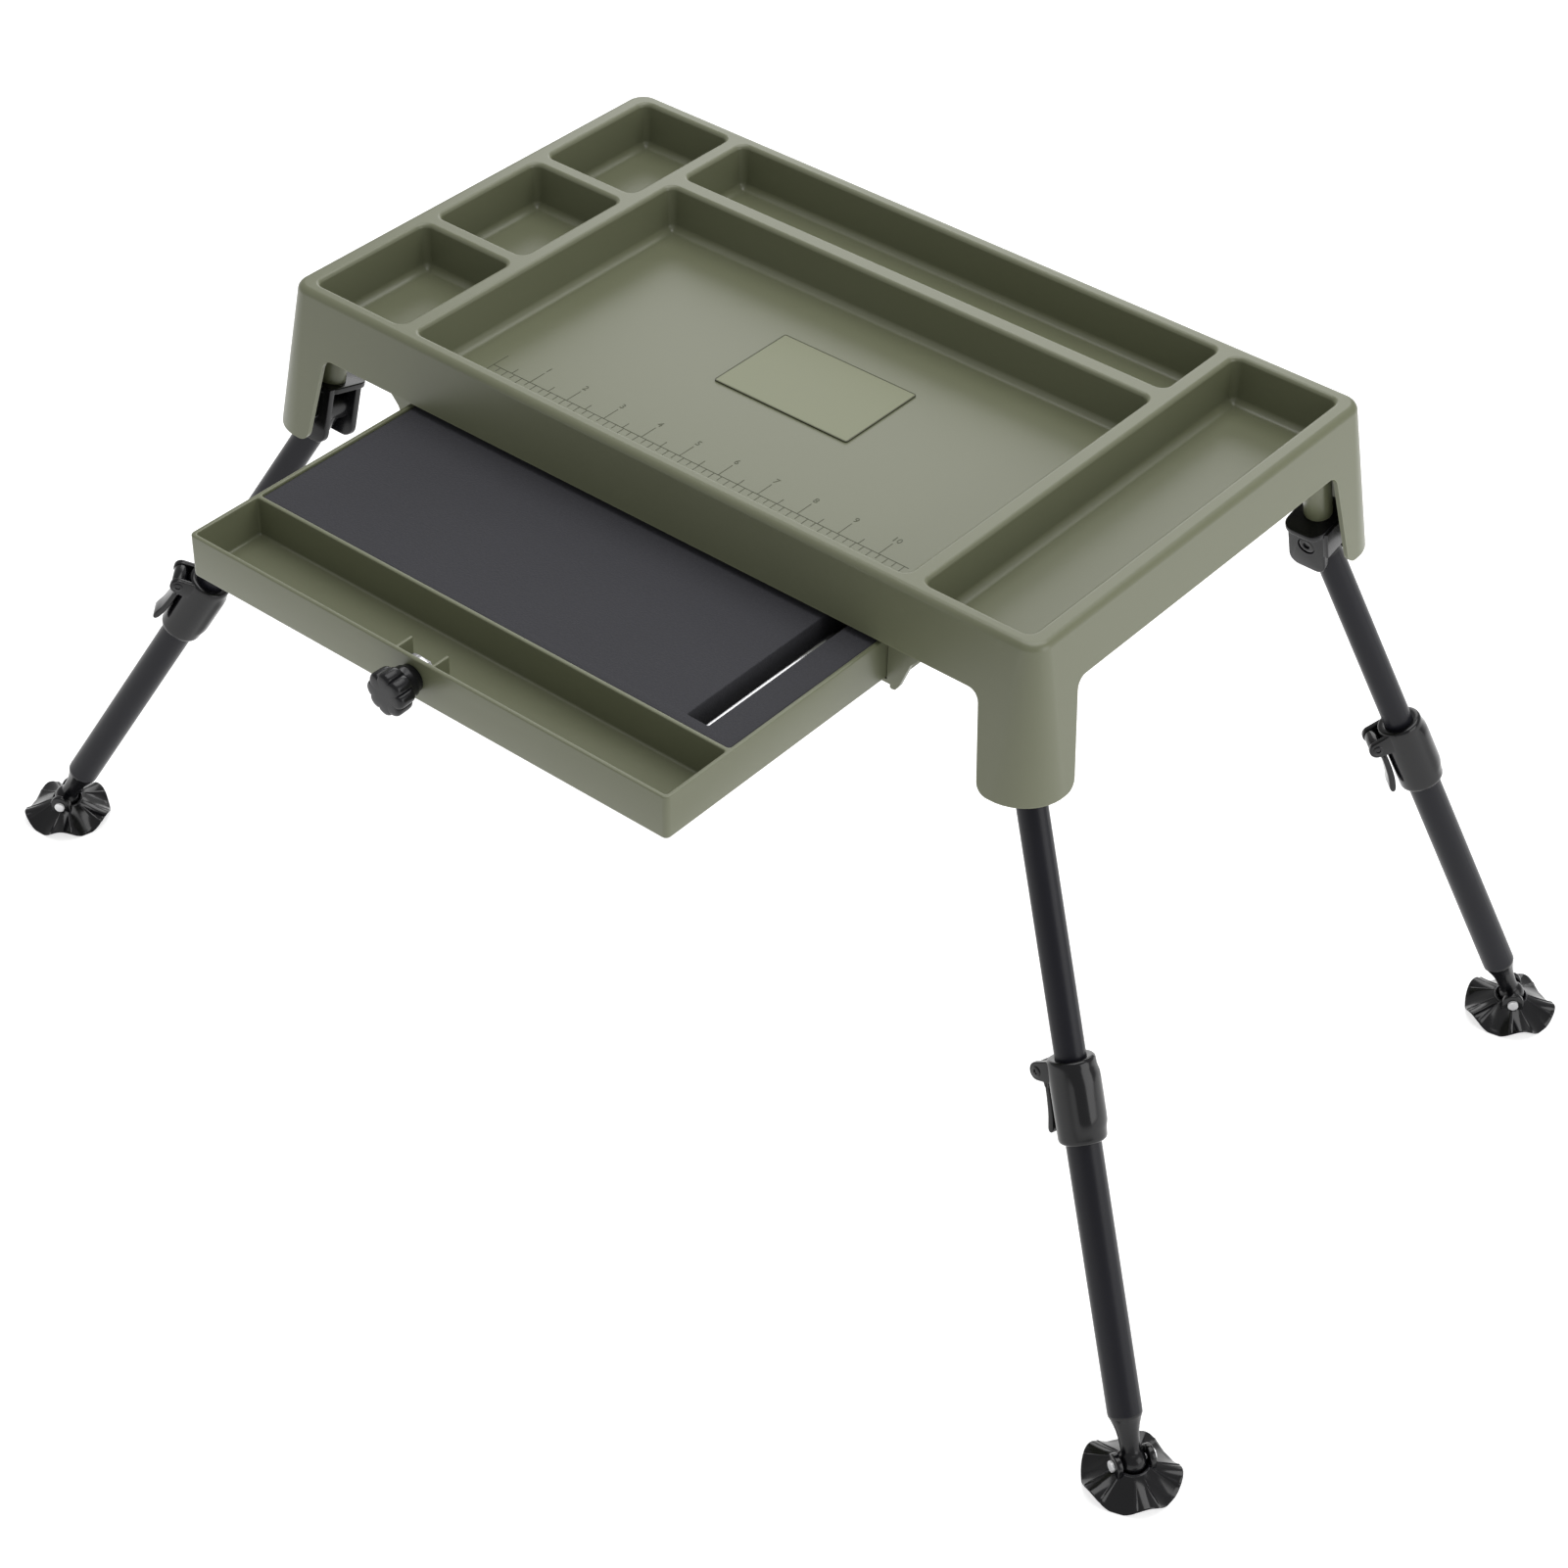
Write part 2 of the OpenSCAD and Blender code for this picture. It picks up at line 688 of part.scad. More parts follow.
module foam_pad() {
    color([0.27, 0.27, 0.29])
        placed()
            difference() {
                box(-foam_x, foam_x, foam_y0, foam_y1,
                    drawer_bottom + drawer_wall + foam_gap, foam_top);
                box(slot_x0, slot_x1, slot_y0, slot_y1, drawer_bottom, drawer_top);
                translate([0, -foam_gap, 0])
                    rod(foam_gap);
                translate([0, foam_gap, 0])
                    rod(foam_gap);
            }
}

module steel_rod() {
    color(STEEL)
        placed()
            rod(0);
}

module knob() {
    color(BLACK)
        placed()
            translate([knob_x, 0, knob_z])
                difference() {
                    union() {
                        pin(knob_neck_r, knob_head - eps, knob_back);
                        translate([0, knob_head, 0])
                            rotate([90, 0, 0])
                                linear_extrude(height = knob_t)
                                    polygon([
                                        for (a = [0:4:356])
                                            let (r = knob_r + knob_lobe * cos(knob_lobes * a))
                                            [r * cos(a), r * sin(a)]
                                    ]);
                    }
                    pin(bolt_r + seat_gap, knob_face + 2.5, knob_back + eps);
                }
}

module knob_bolt() {
    color(STEEL)
        placed()
            translate([knob_x, 0, knob_z])
                pin(bolt_r, knob_face + 2.5 + seat_gap, nut_y + nut_t + 1);
}

module knob_washer() {
    color(STEEL)
        placed()
            translate([knob_x, wall_in_y + washer_t + fit_gap, knob_z])
                rotate([90, 0, 0])
                    difference() {
                        cylinder(r = washer_r, h = washer_t);
                        translate([0, 0, -eps])
                            cylinder(r = bolt_r + fit_gap, h = washer_t + 2 * eps);
                    }
}

module knob_nut() {
    color(STEEL)
        placed()
            translate([knob_x, nut_y + nut_t, knob_z])
                rotate([90, 0, 0])
                    difference() {
                        cylinder(r = nut_flats / 2 / cos(30), h = nut_t, $fn = 6);
                        translate([0, 0, -eps])
                            cylinder(r = bolt_r + seat_gap, h = nut_t + 2 * eps);
                    }
}

// One cheek of a bracket, seen along the pin, with its lower corners cut off
module cheek_shape() {
    w = cheek_half_w;
    c = cheek_cut;
    polygon([[-w, plate_top], [-w, -cheek_reach + c], [-w + c, -cheek_reach],
        [w - c, -cheek_reach], [w, -cheek_reach + c], [w, plate_top]]);
}

module bracket(leg) {
    w = cheek_half_w;
    color(BLACK)
        placed()
            at_hinge(leg)
                difference() {
                    union() {
                        for (y = [-cheek_gap, cheek_out])
                            translate([0, y, 0])
                                rotate([90, 0, 0])
                                    linear_extrude(height = cheek_t)
                                        cheek_shape();
                        box(-w, w, -cheek_out, cheek_out, plate_rise, plate_top);
                        x0 = leg[0] > 0 ? w - eps : -w - stop_t;
                        box(x0, x0 + stop_t + eps, -cheek_out, cheek_out,
                            -stop_reach, plate_top);
                    }
                    pin(pin_r + seat_gap, -cheek_out - eps, cheek_out + eps);
                    pin(pin_head_r + 0.3, cheek_out - pin_recess, cheek_out + eps);
                    pin(pin_head_r + 0.3, -cheek_out - eps, -cheek_out + pin_recess);
                    translate([0, 0, plate_rise - eps])
                        cylinder(r = screw_r + seat_gap, h = plate_t + 2 * eps);
                }
}

module hinge_pin(leg) {
    color(STEEL)
        placed()
            at_hinge(leg) {
                pin(pin_r, -cheek_out + pin_recess - eps, cheek_out - pin_recess + eps);
                pin(pin_head_r, cheek_out - pin_recess, cheek_out - 0.3);
                pin(pin_head_r, -cheek_out + 0.3, -cheek_out + pin_recess);
            }
}

module bracket_screws() {
    color(STEEL)
        placed()
            for (leg = [FL, FR, RL, RR])
                at_hinge(leg) {
                    translate([0, 0, plate_rise - screw_head_t])
                        cylinder(r = screw_head_r, h = screw_head_t);
                    translate([0, 0, plate_rise - eps])
                        cylinder(r = screw_r, h = plate_t + screw_l + eps);
                }
}

module knuckle(leg) {
    color(BLACK)
        placed()
            at_leg(leg)
                difference() {
                    union() {
                        pin(upper_r, -cheek_gap + 0.15, cheek_gap - 0.15);
                        shaft(upper_r, 0, knuckle_l);
                        shaft(upper_r - upper_wall - seat_gap, knuckle_l - eps,
                            knuckle_l + plug_l);
                    }
                    pin(pin_r + fit_gap, -cheek_gap - eps, cheek_gap + eps);
                }
}

module upper_tube(leg) {
    color([0.13, 0.13, 0.14])
        placed()
            at_leg(leg)
                difference() {
                    shaft(upper_r, knuckle_l + seat_gap, upper_end);
                    shaft(upper_r - upper_wall, knuckle_l - eps, upper_end + eps);
                }
}

module lower_tube(leg) {
    color([0.13, 0.13, 0.14])
        placed()
            at_lower(leg)
                difference() {
                    shaft(lower_r, lower_top + seat_gap, lower_end);
                    shaft(lower_in, lower_top - eps, lower_end + eps);
                }
}

module collar(leg) {
    color(BLACK)
        placed()
            at_lower(leg)
                rotate([0, 0, leg[2]])
                    difference() {
                        union() {
                            shaft(collar_r, collar_top, collar_bottom);
                            for (y = [-ear_half, ear_gap]) {
                                translate([pivot_out, 0, -pivot_s])
                                    pin(ear_r, y, y + ear_t);
                                box(collar_r - 4, pivot_out, y, y + ear_t,
                                    -pivot_s - ear_r, -pivot_s + ear_r);
                            }
                        }
                        shaft(upper_r + fit_gap, collar_top - eps, lower_top + eps);
                        shaft(lower_r + seat_gap, lower_top, collar_bottom + eps);
                        translate([pivot_out, 0, -pivot_s])
                            pin(lever_pin_r + seat_gap, -ear_half - eps, ear_half + eps);
                        box(0, pivot_out + ear_r, -slit_w / 2, slit_w / 2,
                            -lower_top, -collar_top + eps);
                    }
}

// The lever seen from the side: out from the leg's axis and up the leg from the pivot
module lever_shape() {
    in = collar_r + 0.6 - pivot_out;
    out = in + blade_t;
    polygon([
        [in, -ear_r - 1.5], [out, -ear_r - 1.5],
        [out + lever_curl * 0.06, -lever_l * 0.45], [out + lever_curl * 0.4, -lever_l * 0.72],
        [out + lever_curl * 0.8, -lever_l * 0.88], [out + lever_curl, -lever_l],
        [out + lever_curl * 0.32, -lever_l], [out - lever_curl * 0.08, -lever_l * 0.92],
        [in + lever_curl * 0.12, -lever_l * 0.72], [in, -lever_l * 0.45]
    ]);
}

module lever_arm(leg) {
    in = collar_r + 0.6 - pivot_out;
    eye_half = ear_gap - 0.2;
    color(BLACK)
        placed()
            at_lower(leg)
                rotate([0, 0, leg[2]])
                    translate([pivot_out, 0, -pivot_s])
                        difference() {
                            union() {
                                pin(ear_r - 0.7, -eye_half, eye_half);
                                box(in, in + blade_t, -eye_half, eye_half, -ear_r - 2, 0);
                                translate([0, blade_half_w, 0])
                                    rotate([90, 0, 0])
                                        linear_extrude(height = 2 * blade_half_w)
                                            lever_shape();
                            }
                            pin(lever_pin_r + fit_gap, -blade_half_w - eps, blade_half_w + eps);
                        }
}

module lever_pin(leg) {
    color(STEEL)
        placed()
            at_lower(leg)
                rotate([0, 0, leg[2]])
                    translate([pivot_out, 0, -pivot_s])
                        pin(lever_pin_r, -ear_half - 0.3, ear_half + 0.3);
}

module ball_stud(leg) {
    color(BLACK)
        placed()
            difference() {
                union() {
                    at_lower(leg)
                        rotate_extrude()
                            polygon([
                                [0, -lower_end + stud_plug_l], [stud_r, -lower_end + stud_plug_l],
                                [stud_r, -lower_end - fit_gap], [lower_r, -lower_end - fit_gap],
                                [lower_r, -lower_end - 1], [neck_r, -lower_end - stud_cone_l],
                                [neck_r, -leg_reach], [0, -leg_reach]
                            ]);
                    at_foot(leg)
                        sphere(r = ball_r);
                }
                at_foot(leg)
                    pin(foot_pin_r + fit_gap, -ball_r - eps, ball_r + eps);
            }
}

// Height of the foot's skin above the ground at radius r and angle a
function fold_z(r, a) = let (
        u = (r - hub_r + 2) / (foot_r - hub_r + 2),
        w = abs(((a * foot_folds / 360) % 1) * 2 - 1)
    ) crown_h * (1 - u) * (1 - u * 0.35) + fold_h * u * w;

module foot_skin() {
    steps = 8 * foot_folds;
    radii = [hub_r - 2, (hub_r + foot_r) / 2, foot_r];
    top = [for (r = radii) [
        for (i = [0:steps - 1])
            let (a = 360 * i / steps)
            [r * cos(a), r * sin(a), fold_z(r, a) + skin_t - fold_flat - ball_h]
    ]];
    low = [for (r = radii) [
        for (i = [0:steps - 1])
            let (a = 360 * i / steps)
            [r * cos(a), r * sin(a), fold_z(r, a) - fold_flat - ball_h]
    ]];
    loops = concat(top, [low[2], low[1], low[0]]);
    points = [for (p = loops) each p];
    n = len(loops);
    faces = [
        for (j = [0:n - 1])
            for (i = [0:steps - 1])
                let (k = (i + 1) % steps, j2 = (j + 1) % n)
                each [
                    [j * steps + i, j * steps + k, j2 * steps + k],
                    [j * steps + i, j2 * steps + k, j2 * steps + i]
                ]
    ];
    polyhedron(points = points, faces = faces);
}

module foot(leg) {
    hub_low = crown_h - ball_h;
    color(BLACK)
        placed()
            at_foot(leg)
                difference() {
                    union() {
                        foot_skin();
                        translate([0, 0, hub_low - 3])
                            cylinder(r = hub_r, h = skin_t + 3);
                        for (y = [lug_in, -lug_out]) {
                            pin_lug = lug_half_w;
                            pin(pin_lug, y, y + lug_t);
                            box(-pin_lug, pin_lug, y, y + lug_t, hub_low - 1, 0);
                        }
                    }
                    sphere(r = lug_in);
                    pin(foot_pin_r + seat_gap, -lug_out - eps, lug_out + eps);
                    box(-foot_r, foot_r, -foot_r, foot_r, -ball_h - eps, -ball_h);
                }
}

module foot_screw(leg) {
    color(STEEL)
        placed()
            at_foot(leg) {
                pin(foot_pin_r, -lug_out - eps, lug_out + eps);
                pin(foot_head_r, lug_out + seat_gap, lug_out + foot_head_t);
                pin(foot_head_r, -lug_out - foot_head_t, -lug_out - seat_gap);
            }
}

tray();
label_plate();
drawer();
foam_pad();
steel_rod();
knob();
knob_bolt();
knob_washer();
knob_nut();
bracket_screws();
bracket(FL);  // bracket_fl
bracket(FR);  // bracket_fr
bracket(RL);  // bracket_rl
bracket(RR);  // bracket_rr
hinge_pin(FL);  // hinge_pin_fl
hinge_pin(FR);  // hinge_pin_fr
hinge_pin(RL);  // hinge_pin_rl
hinge_pin(RR);  // hinge_pin_rr
knuckle(FL);  // knuckle_fl
knuckle(FR);  // knuckle_fr
knuckle(RL);  // knuckle_rl
knuckle(RR);  // knuckle_rr
upper_tube(FL);  // upper_tube_fl
upper_tube(FR);  // upper_tube_fr
upper_tube(RL);  // upper_tube_rl
upper_tube(RR);  // upper_tube_rr
collar(FL);  // collar_fl
collar(FR);  // collar_fr
collar(RL);  // collar_rl
collar(RR);  // collar_rr
lower_tube(FL);  // lower_tube_fl
lower_tube(FR);  // lower_tube_fr
lower_tube(RL);  // lower_tube_rl
lower_tube(RR);  // lower_tube_rr
lever_arm(FL);  // lever_fl_arm
lever_arm(FR);  // lever_fr_arm
lever_arm(RL);  // lever_rl_arm
lever_arm(RR);  // lever_rr_arm
lever_pin(FL);  // lever_pin_fl
lever_pin(FR);  // lever_pin_fr
lever_pin(RL);  // lever_pin_rl
lever_pin(RR);  // lever_pin_rr
ball_stud(FL);  // ball_stud_fl
ball_stud(FR);  // ball_stud_fr
ball_stud(RL);  // ball_stud_rl
ball_stud(RR);  // ball_stud_rr
foot(FL);  // foot_fl
foot(FR);  // foot_fr
foot(RL);  // foot_rl
foot(RR);  // foot_rr
foot_screw(FL);  // foot_screw_fl
foot_screw(FR);  // foot_screw_fr
foot_screw(RL);  // foot_screw_rl
foot_screw(RR);  // foot_screw_rr
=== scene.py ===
# %% [markdown]
# # A folding bivvy table, dressed in Blender
#
# The real object is a low angling table: a moulded olive tray with six pockets, a shallow
# drawer hung under it, and four black telescopic legs with clamp levers and mud feet.
#
# The CAD frame already holds every part in its place, with its joints. This lesson adds what
# CAD leaves out: soft edges, fine moulded detail and finishes that catch the light.

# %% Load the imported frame
import math

import bpy
import numpy as np
from mathutils import Matrix, Vector


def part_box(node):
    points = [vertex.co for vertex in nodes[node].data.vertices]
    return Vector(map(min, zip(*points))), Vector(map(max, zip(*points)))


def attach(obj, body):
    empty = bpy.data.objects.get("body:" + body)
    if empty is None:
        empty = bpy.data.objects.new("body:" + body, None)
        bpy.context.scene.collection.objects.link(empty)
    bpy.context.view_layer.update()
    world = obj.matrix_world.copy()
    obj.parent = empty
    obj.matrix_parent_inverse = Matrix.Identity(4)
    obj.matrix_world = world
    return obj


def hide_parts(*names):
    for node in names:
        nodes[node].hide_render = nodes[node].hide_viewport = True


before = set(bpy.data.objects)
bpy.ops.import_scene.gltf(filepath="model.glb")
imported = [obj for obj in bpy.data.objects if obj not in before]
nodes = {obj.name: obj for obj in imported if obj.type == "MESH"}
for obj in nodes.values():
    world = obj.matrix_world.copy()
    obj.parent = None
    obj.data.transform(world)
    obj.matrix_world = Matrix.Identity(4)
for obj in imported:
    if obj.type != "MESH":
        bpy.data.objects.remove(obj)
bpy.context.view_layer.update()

# %% [markdown]
# ## One ruler for everything
#
# All shapes below are drawn in millimetres in the tray's own frame: X to the right, Y to the
# back and Z up from the ground, with the origin under the middle of the tray. The tray's box
# in the CAD frame says how far that frame is shifted, so nothing here is placed by eye.

# %% The tray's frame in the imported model
MM = 0.001
tray_low, tray_high = (np.array(corner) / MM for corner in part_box("tray"))
SHIFT = np.array([*(tray_low + tray_high)[:2] / 2, 0.0])
RIM = tray_high[2]
print("shift", SHIFT.round(3), "rim height", round(RIM, 3))


def place(points):
    """Carries points from millimetres in the tray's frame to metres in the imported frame."""
    return (points + SHIFT) * MM


# %% [markdown]
# ## Camera
#
# The photograph was taken from the front right, a little above. The camera was solved from the
# tray's straight edges: where it stands, where it looks and how far it is rolled. The lens is
# long, so near and far legs look almost the same size.

# %% Camera
EYE = np.array([947.5, -1195.5, 1360.8])
AZIMUTH, ELEVATION, ROLL = (math.radians(a) for a in (38.84, 39.42, 1.35))
FOCAL_PX, PHOTO_PX, SENSOR = 3585.3, 1601, 36.0

look = np.array([-math.sin(AZIMUTH) * math.cos(ELEVATION),
                 math.cos(AZIMUTH) * math.cos(ELEVATION), -math.sin(ELEVATION)])
level = np.array([math.cos(AZIMUTH), math.sin(AZIMUTH), 0.0])
upright = np.cross(level, look)
right = math.cos(ROLL) * level + math.sin(ROLL) * upright
up = -math.sin(ROLL) * level + math.cos(ROLL) * upright

camera_data = bpy.data.cameras.new("camera")
camera_data.sensor_fit = "HORIZONTAL"
camera_data.sensor_width = SENSOR
camera_data.lens = FOCAL_PX / PHOTO_PX * SENSOR
camera_data.clip_start, camera_data.clip_end = 0.05, 50.0
camera = bpy.data.objects.new("camera", camera_data)
bpy.context.scene.collection.objects.link(camera)
turned = Matrix([list(row) for row in np.column_stack([right, up, -look])]).to_4x4()
camera.matrix_world = Matrix.Translation(place(EYE).tolist()) @ turned
bpy.context.scene.camera = camera
print("lens", round(camera_data.lens, 2), "mm")

# %% [markdown]
# ## Floor and studio light
#
# The photograph shows the table on plain white. A large pale floor does that, lifted a little
# by its own glow so that the shadows stay faint. The tray's right side and floors look lit and
# the front skirt dark, so the soft lights stand to the right, above and behind.

# %% Shader maths as Python expressions


class Value:
    """A node socket that adds Math nodes when it is used in an expression."""

    def __init__(self, finish, socket):
        self.finish, self.socket = finish, socket

    def maths(self, operation, first, second):
        """Adds one Math node with the operation on two values or sockets."""
        return self.finish.node("ShaderNodeMath", {"operation": operation},
                                {0: first, 1: second})

    def __add__(self, other):
        return self.maths("ADD", self, other)

    def __rsub__(self, other):
        return self.maths("SUBTRACT", other, self)

    def __mul__(self, other):
        return self.maths("MULTIPLY", self, other)

    __radd__ = __add__
    __rmul__ = __mul__


class Finish:
    """A material with one Principled surface, built node by node."""

    def __init__(self, name, **constants):
        self.material = bpy.data.materials.new(name)
        self.material.use_nodes = True
        self.tree = self.material.node_tree
        self.tree.nodes.clear()
        out = self.tree.nodes.new("ShaderNodeOutputMaterial")
        self.surface = self.tree.nodes.new("ShaderNodeBsdfPrincipled")
        self.tree.links.new(self.surface.outputs[0], out.inputs["Surface"])
        for socket, value in constants.items():
            self.surface.inputs[socket.replace("_", " ")].default_value = value

    def node(self, kind, settings=None, inputs=None, output=0):
        """Adds a node: its settings first, then the values or links of its sockets."""
        made = self.tree.nodes.new(kind)
        for key, value in (settings or {}).items():
            setattr(made, key, value)
        for key, value in (inputs or {}).items():
            if isinstance(value, Value):
                self.tree.links.new(value.socket, made.inputs[key])
            else:
                made.inputs[key].default_value = value
        return Value(self, made.outputs[output])

    def place(self, scale=(1.0, 1.0, 1.0)):
        """Object coordinates, stretched by a Mapping node."""
        where = self.node("ShaderNodeTexCoord", output="Object")
        return self.node("ShaderNodeMapping", {}, {"Vector": where, "Scale": scale})

    def noise(self, where, scale, detail=3.0, rough=0.5):
        """Fractal noise, from 0 to 1."""
        return self.node("ShaderNodeTexNoise", {},
                         {"Vector": where, "Scale": scale, "Detail": detail, "Roughness": rough})

    def tint(self, mask, first, second):
        """A colour that goes from first to second with the mask."""
        colours = {6: first, 7: second}
        inputs = {0: mask}
        for key, colour in colours.items():
            inputs[key] = colour if isinstance(colour, Value) else (*colour, 1.0)
        return self.node("ShaderNodeMix", {"data_type": "RGBA"}, inputs, output=2)

    def ramp(self, mask, low, high):
        """Stretches a value so that low becomes 0 and high becomes 1."""
        return self.node("ShaderNodeMapRange", {},
                         {0: mask, 1: low, 2: high, 3: 0.0, 4: 1.0})

    def edges(self, width):
        """1 on edges sharper than the width in metres, 0 on flats: the softened normal of a
        Bevel node compared with the true one."""
        soft = self.node("ShaderNodeBevel", {"samples": 6}, {"Radius": width})
        true = self.node("ShaderNodeNewGeometry", output="Normal")
        along = self.node("ShaderNodeVectorMath", {"operation": "DOT_PRODUCT"},
                          {0: soft, 1: true}, output="Value")
        return self.ramp(1.0 - along, 0.02, 0.25)

    def feed(self, **links):
        """Links values to the surface's sockets."""
        for socket, value in links.items():
            self.tree.links.new(value.socket, self.surface.inputs[socket.replace("_", " ")])

    def bump(self, height, depth, strength):
        """Turns a height from 0 to 1 into a bump of that depth in metres."""
        return self.node("ShaderNodeBump", {},
                         {"Height": height, "Distance": depth, "Strength": strength})


def srgb(red, green, blue):
    """A colour as read from a picture, 0 to 255, as linear light."""
    part = np.array([red, green, blue]) / 255.0
    return tuple(np.where(part <= 0.04045, part / 12.92, ((part + 0.055) / 1.055) ** 2.4))


# %% Floor
def link(name, mesh):
    """Adds a mesh to the scene as an object at the origin."""
    made = bpy.data.objects.new(name, mesh)
    bpy.context.scene.collection.objects.link(made)
    return made


FLOOR_HALF = 9.0
floor_mesh = bpy.data.meshes.new("floor")
floor_mesh.from_pydata([(x, y, -0.0002) for x, y in
                        ((-FLOOR_HALF, -FLOOR_HALF), (FLOOR_HALF, -FLOOR_HALF),
                         (FLOOR_HALF, FLOOR_HALF), (-FLOOR_HALF, FLOOR_HALF))],
                       [], [(0, 1, 2, 3)])
floor = link("floor", floor_mesh)
pale = Finish("pale_floor", Roughness=0.9, Emission_Strength=0.68)
speck = pale.noise(pale.place(), 6.0)
pale.feed(Base_Color=pale.tint(speck, (0.62, 0.62, 0.62), (0.66, 0.66, 0.66)))
pale.surface.inputs["Emission Color"].default_value = (1.0, 1.0, 1.0, 1.0)
floor_mesh.materials.append(pale.material)

# %% Studio light


def softbox(name, at, aim, size, power):
    """A square area light at one point that faces another, in metres."""
    data = bpy.data.lights.new(name, "AREA")
    data.shape, data.size, data.energy = "SQUARE", size, power
    lamp = bpy.data.objects.new(name, data)
    bpy.context.scene.collection.objects.link(lamp)
    away = np.array(at, float) - np.array(aim, float)
    lamp.location = at
    lamp.rotation_euler = Vector(away).to_track_quat("Z", "Y").to_euler()


softbox("overhead", (0.1, 0.5, 2.6), (0.0, 0.0, 0.3), 2.2, 44.0)
softbox("right_side", (2.3, 0.3, 0.9), (0.0, 0.0, 0.3), 1.5, 17.0)
softbox("behind_left", (-1.4, 2.2, 1.5), (0.0, 0.0, 0.3), 1.6, 18.0)

world = bpy.data.worlds.new("studio")
bpy.context.scene.world = world
world.use_nodes = True
world.node_tree.nodes["Background"].inputs["Color"].default_value = (1.0, 1.0, 1.0, 1.0)
world.node_tree.nodes["Background"].inputs["Strength"].default_value = 0.51
bpy.context.scene.view_settings.view_transform = "Standard"

# %% [markdown]
# ## Finishes
#
# The tray and drawer are olive polypropylene from a lightly textured mould: a fine grain that
# breaks up the gloss, a faint cloudiness in the colour, and edges painted paler as a highlight.
# Each finish below is one surface with noise at the scale of the real grain.

# %% Olive moulded plastic
olive = Finish("olive_plastic", IOR=1.52)
at = olive.place()
cloud = olive.noise(at, 7.0, 4.0)
grain = olive.noise(at, 1400.0, 2.0)
scuff = olive.ramp(olive.noise(olive.place((1.0, 6.0, 1.0)), 60.0, 5.0, 0.7), 0.62, 0.78)
# Painted highlight: the Bevel node's edge mask lightens the colour along every edge and crease.
edge_highlight = olive.edges(0.0016)
body = olive.tint(cloud, srgb(95, 98, 75), srgb(102, 105, 83))
body = olive.tint(edge_highlight * 0.35, body, srgb(136, 139, 116))
body = olive.tint(scuff * 0.12, body, srgb(126, 129, 107))
olive.feed(Base_Color=body, Roughness=cloud * 0.08 + scuff * 0.08 + 0.31,
           Normal=olive.bump(grain, 0.00004, 0.5))

# %% Black moulded plastic, plain for the brackets and glossy for the clamps
def moulded_black(name, shine, tones, edge, scales, rough, relief):
    """Black plastic: a cloudy tone, edges painted paler as a highlight, and a fine grain in the
    gloss.
    """
    made = Finish(name, IOR=1.5, Specular_IOR_Level=shine)
    at = made.place()
    cloud, grain = made.noise(at, scales[0], 3.0), made.noise(at, scales[1], 2.0)
    body = made.tint(cloud, srgb(*tones[0]), srgb(*tones[1]))
    # Painted highlight: the third tone is painted along the edges and creases.
    body = made.tint(made.edges(edge) * 0.4, body, srgb(*tones[2]))
    made.feed(Base_Color=body, Roughness=cloud * rough[0] + rough[1],
              Normal=made.bump(grain, *relief))
    return made


# The third tone of each is the painted highlight on the edges.
black = moulded_black("black_plastic", 0.32, ((11, 11, 13), (17, 17, 20), (58, 58, 65)),
                      0.0008, (30.0, 2200.0), (0.1, 0.2), (0.00003, 0.4))
gloss_black = moulded_black("gloss_black", 0.38, ((7, 7, 9), (12, 12, 15), (60, 60, 68)),
                            0.0007, (40.0, 1600.0), (0.08, 0.13), (0.00002, 0.3))

# %% Satin black tube
tube_black = Finish("tube", IOR=1.5, Specular_IOR_Level=0.22)
at = tube_black.place()
cloud = tube_black.noise(at, 18.0, 3.0)
streak = tube_black.noise(at, 420.0, 4.0, 0.6)
rub = tube_black.ramp(tube_black.noise(at, 90.0, 6.0, 0.7), 0.66, 0.8)
body = tube_black.tint(cloud, srgb(15, 15, 21), srgb(20, 20, 27))
body = tube_black.tint(rub * 0.25, body, srgb(48, 48, 55))
tube_black.feed(Base_Color=body, Roughness=cloud * 0.08 + streak * 0.05 + 0.28,
                Normal=tube_black.bump(streak, 0.00002, 0.35))

# %% Bright steel
steel = Finish("steel", Metallic=1.0)
at = steel.place((1.0, 40.0, 1.0))
brushed = steel.noise(at, 130.0, 3.0, 0.6)
dull = steel.noise(steel.place(), 50.0, 3.0)
steel.feed(Base_Color=steel.tint(dull, (0.36, 0.36, 0.37), (0.52, 0.52, 0.53)),
           Roughness=brushed * 0.14 + 0.14, Normal=steel.bump(brushed, 0.00001, 0.5))

# %% Zinc-plated screws
zinc = Finish("zinc", Metallic=0.5)
frost = zinc.noise(zinc.place(), 300.0, 3.0)
zinc.feed(Base_Color=zinc.tint(frost, (0.74, 0.74, 0.75), (0.88, 0.88, 0.89)),
          Roughness=frost * 0.15 + 0.28, Normal=zinc.bump(frost, 0.00001, 0.4))

# %% Foam
foam = Finish("foam", Roughness=0.92)
at = foam.place()
cells = foam.node("ShaderNodeTexVoronoi", {}, {"Vector": at, "Scale": 1100.0}, "Distance")
cloud = foam.noise(at, 9.0, 4.0)
fuzz = foam.noise(at, 700.0, 3.0, 0.7)
body = foam.tint(cloud, srgb(42, 42, 46), srgb(49, 49, 54))
body = foam.tint(foam.ramp(fuzz, 0.4, 0.75) * 0.3, body, srgb(66, 66, 71))
foam.feed(Base_Color=body, Roughness=fuzz * 0.1 + 0.84,
          Normal=foam.bump(cells + fuzz, 0.00025, 0.6))

# %% Label plate, and painted shade for the ruler's moulded lines and the label's groove
label = Finish("label", IOR=1.47)
at = label.place()
cloud = label.noise(at, 14.0, 3.0)
grain = label.noise(at, 900.0, 2.0)
label.feed(Base_Color=label.tint(cloud, srgb(106, 110, 82), srgb(114, 118, 90)),
           Roughness=cloud * 0.1 + 0.34, Normal=label.bump(grain, 0.00003, 0.5))
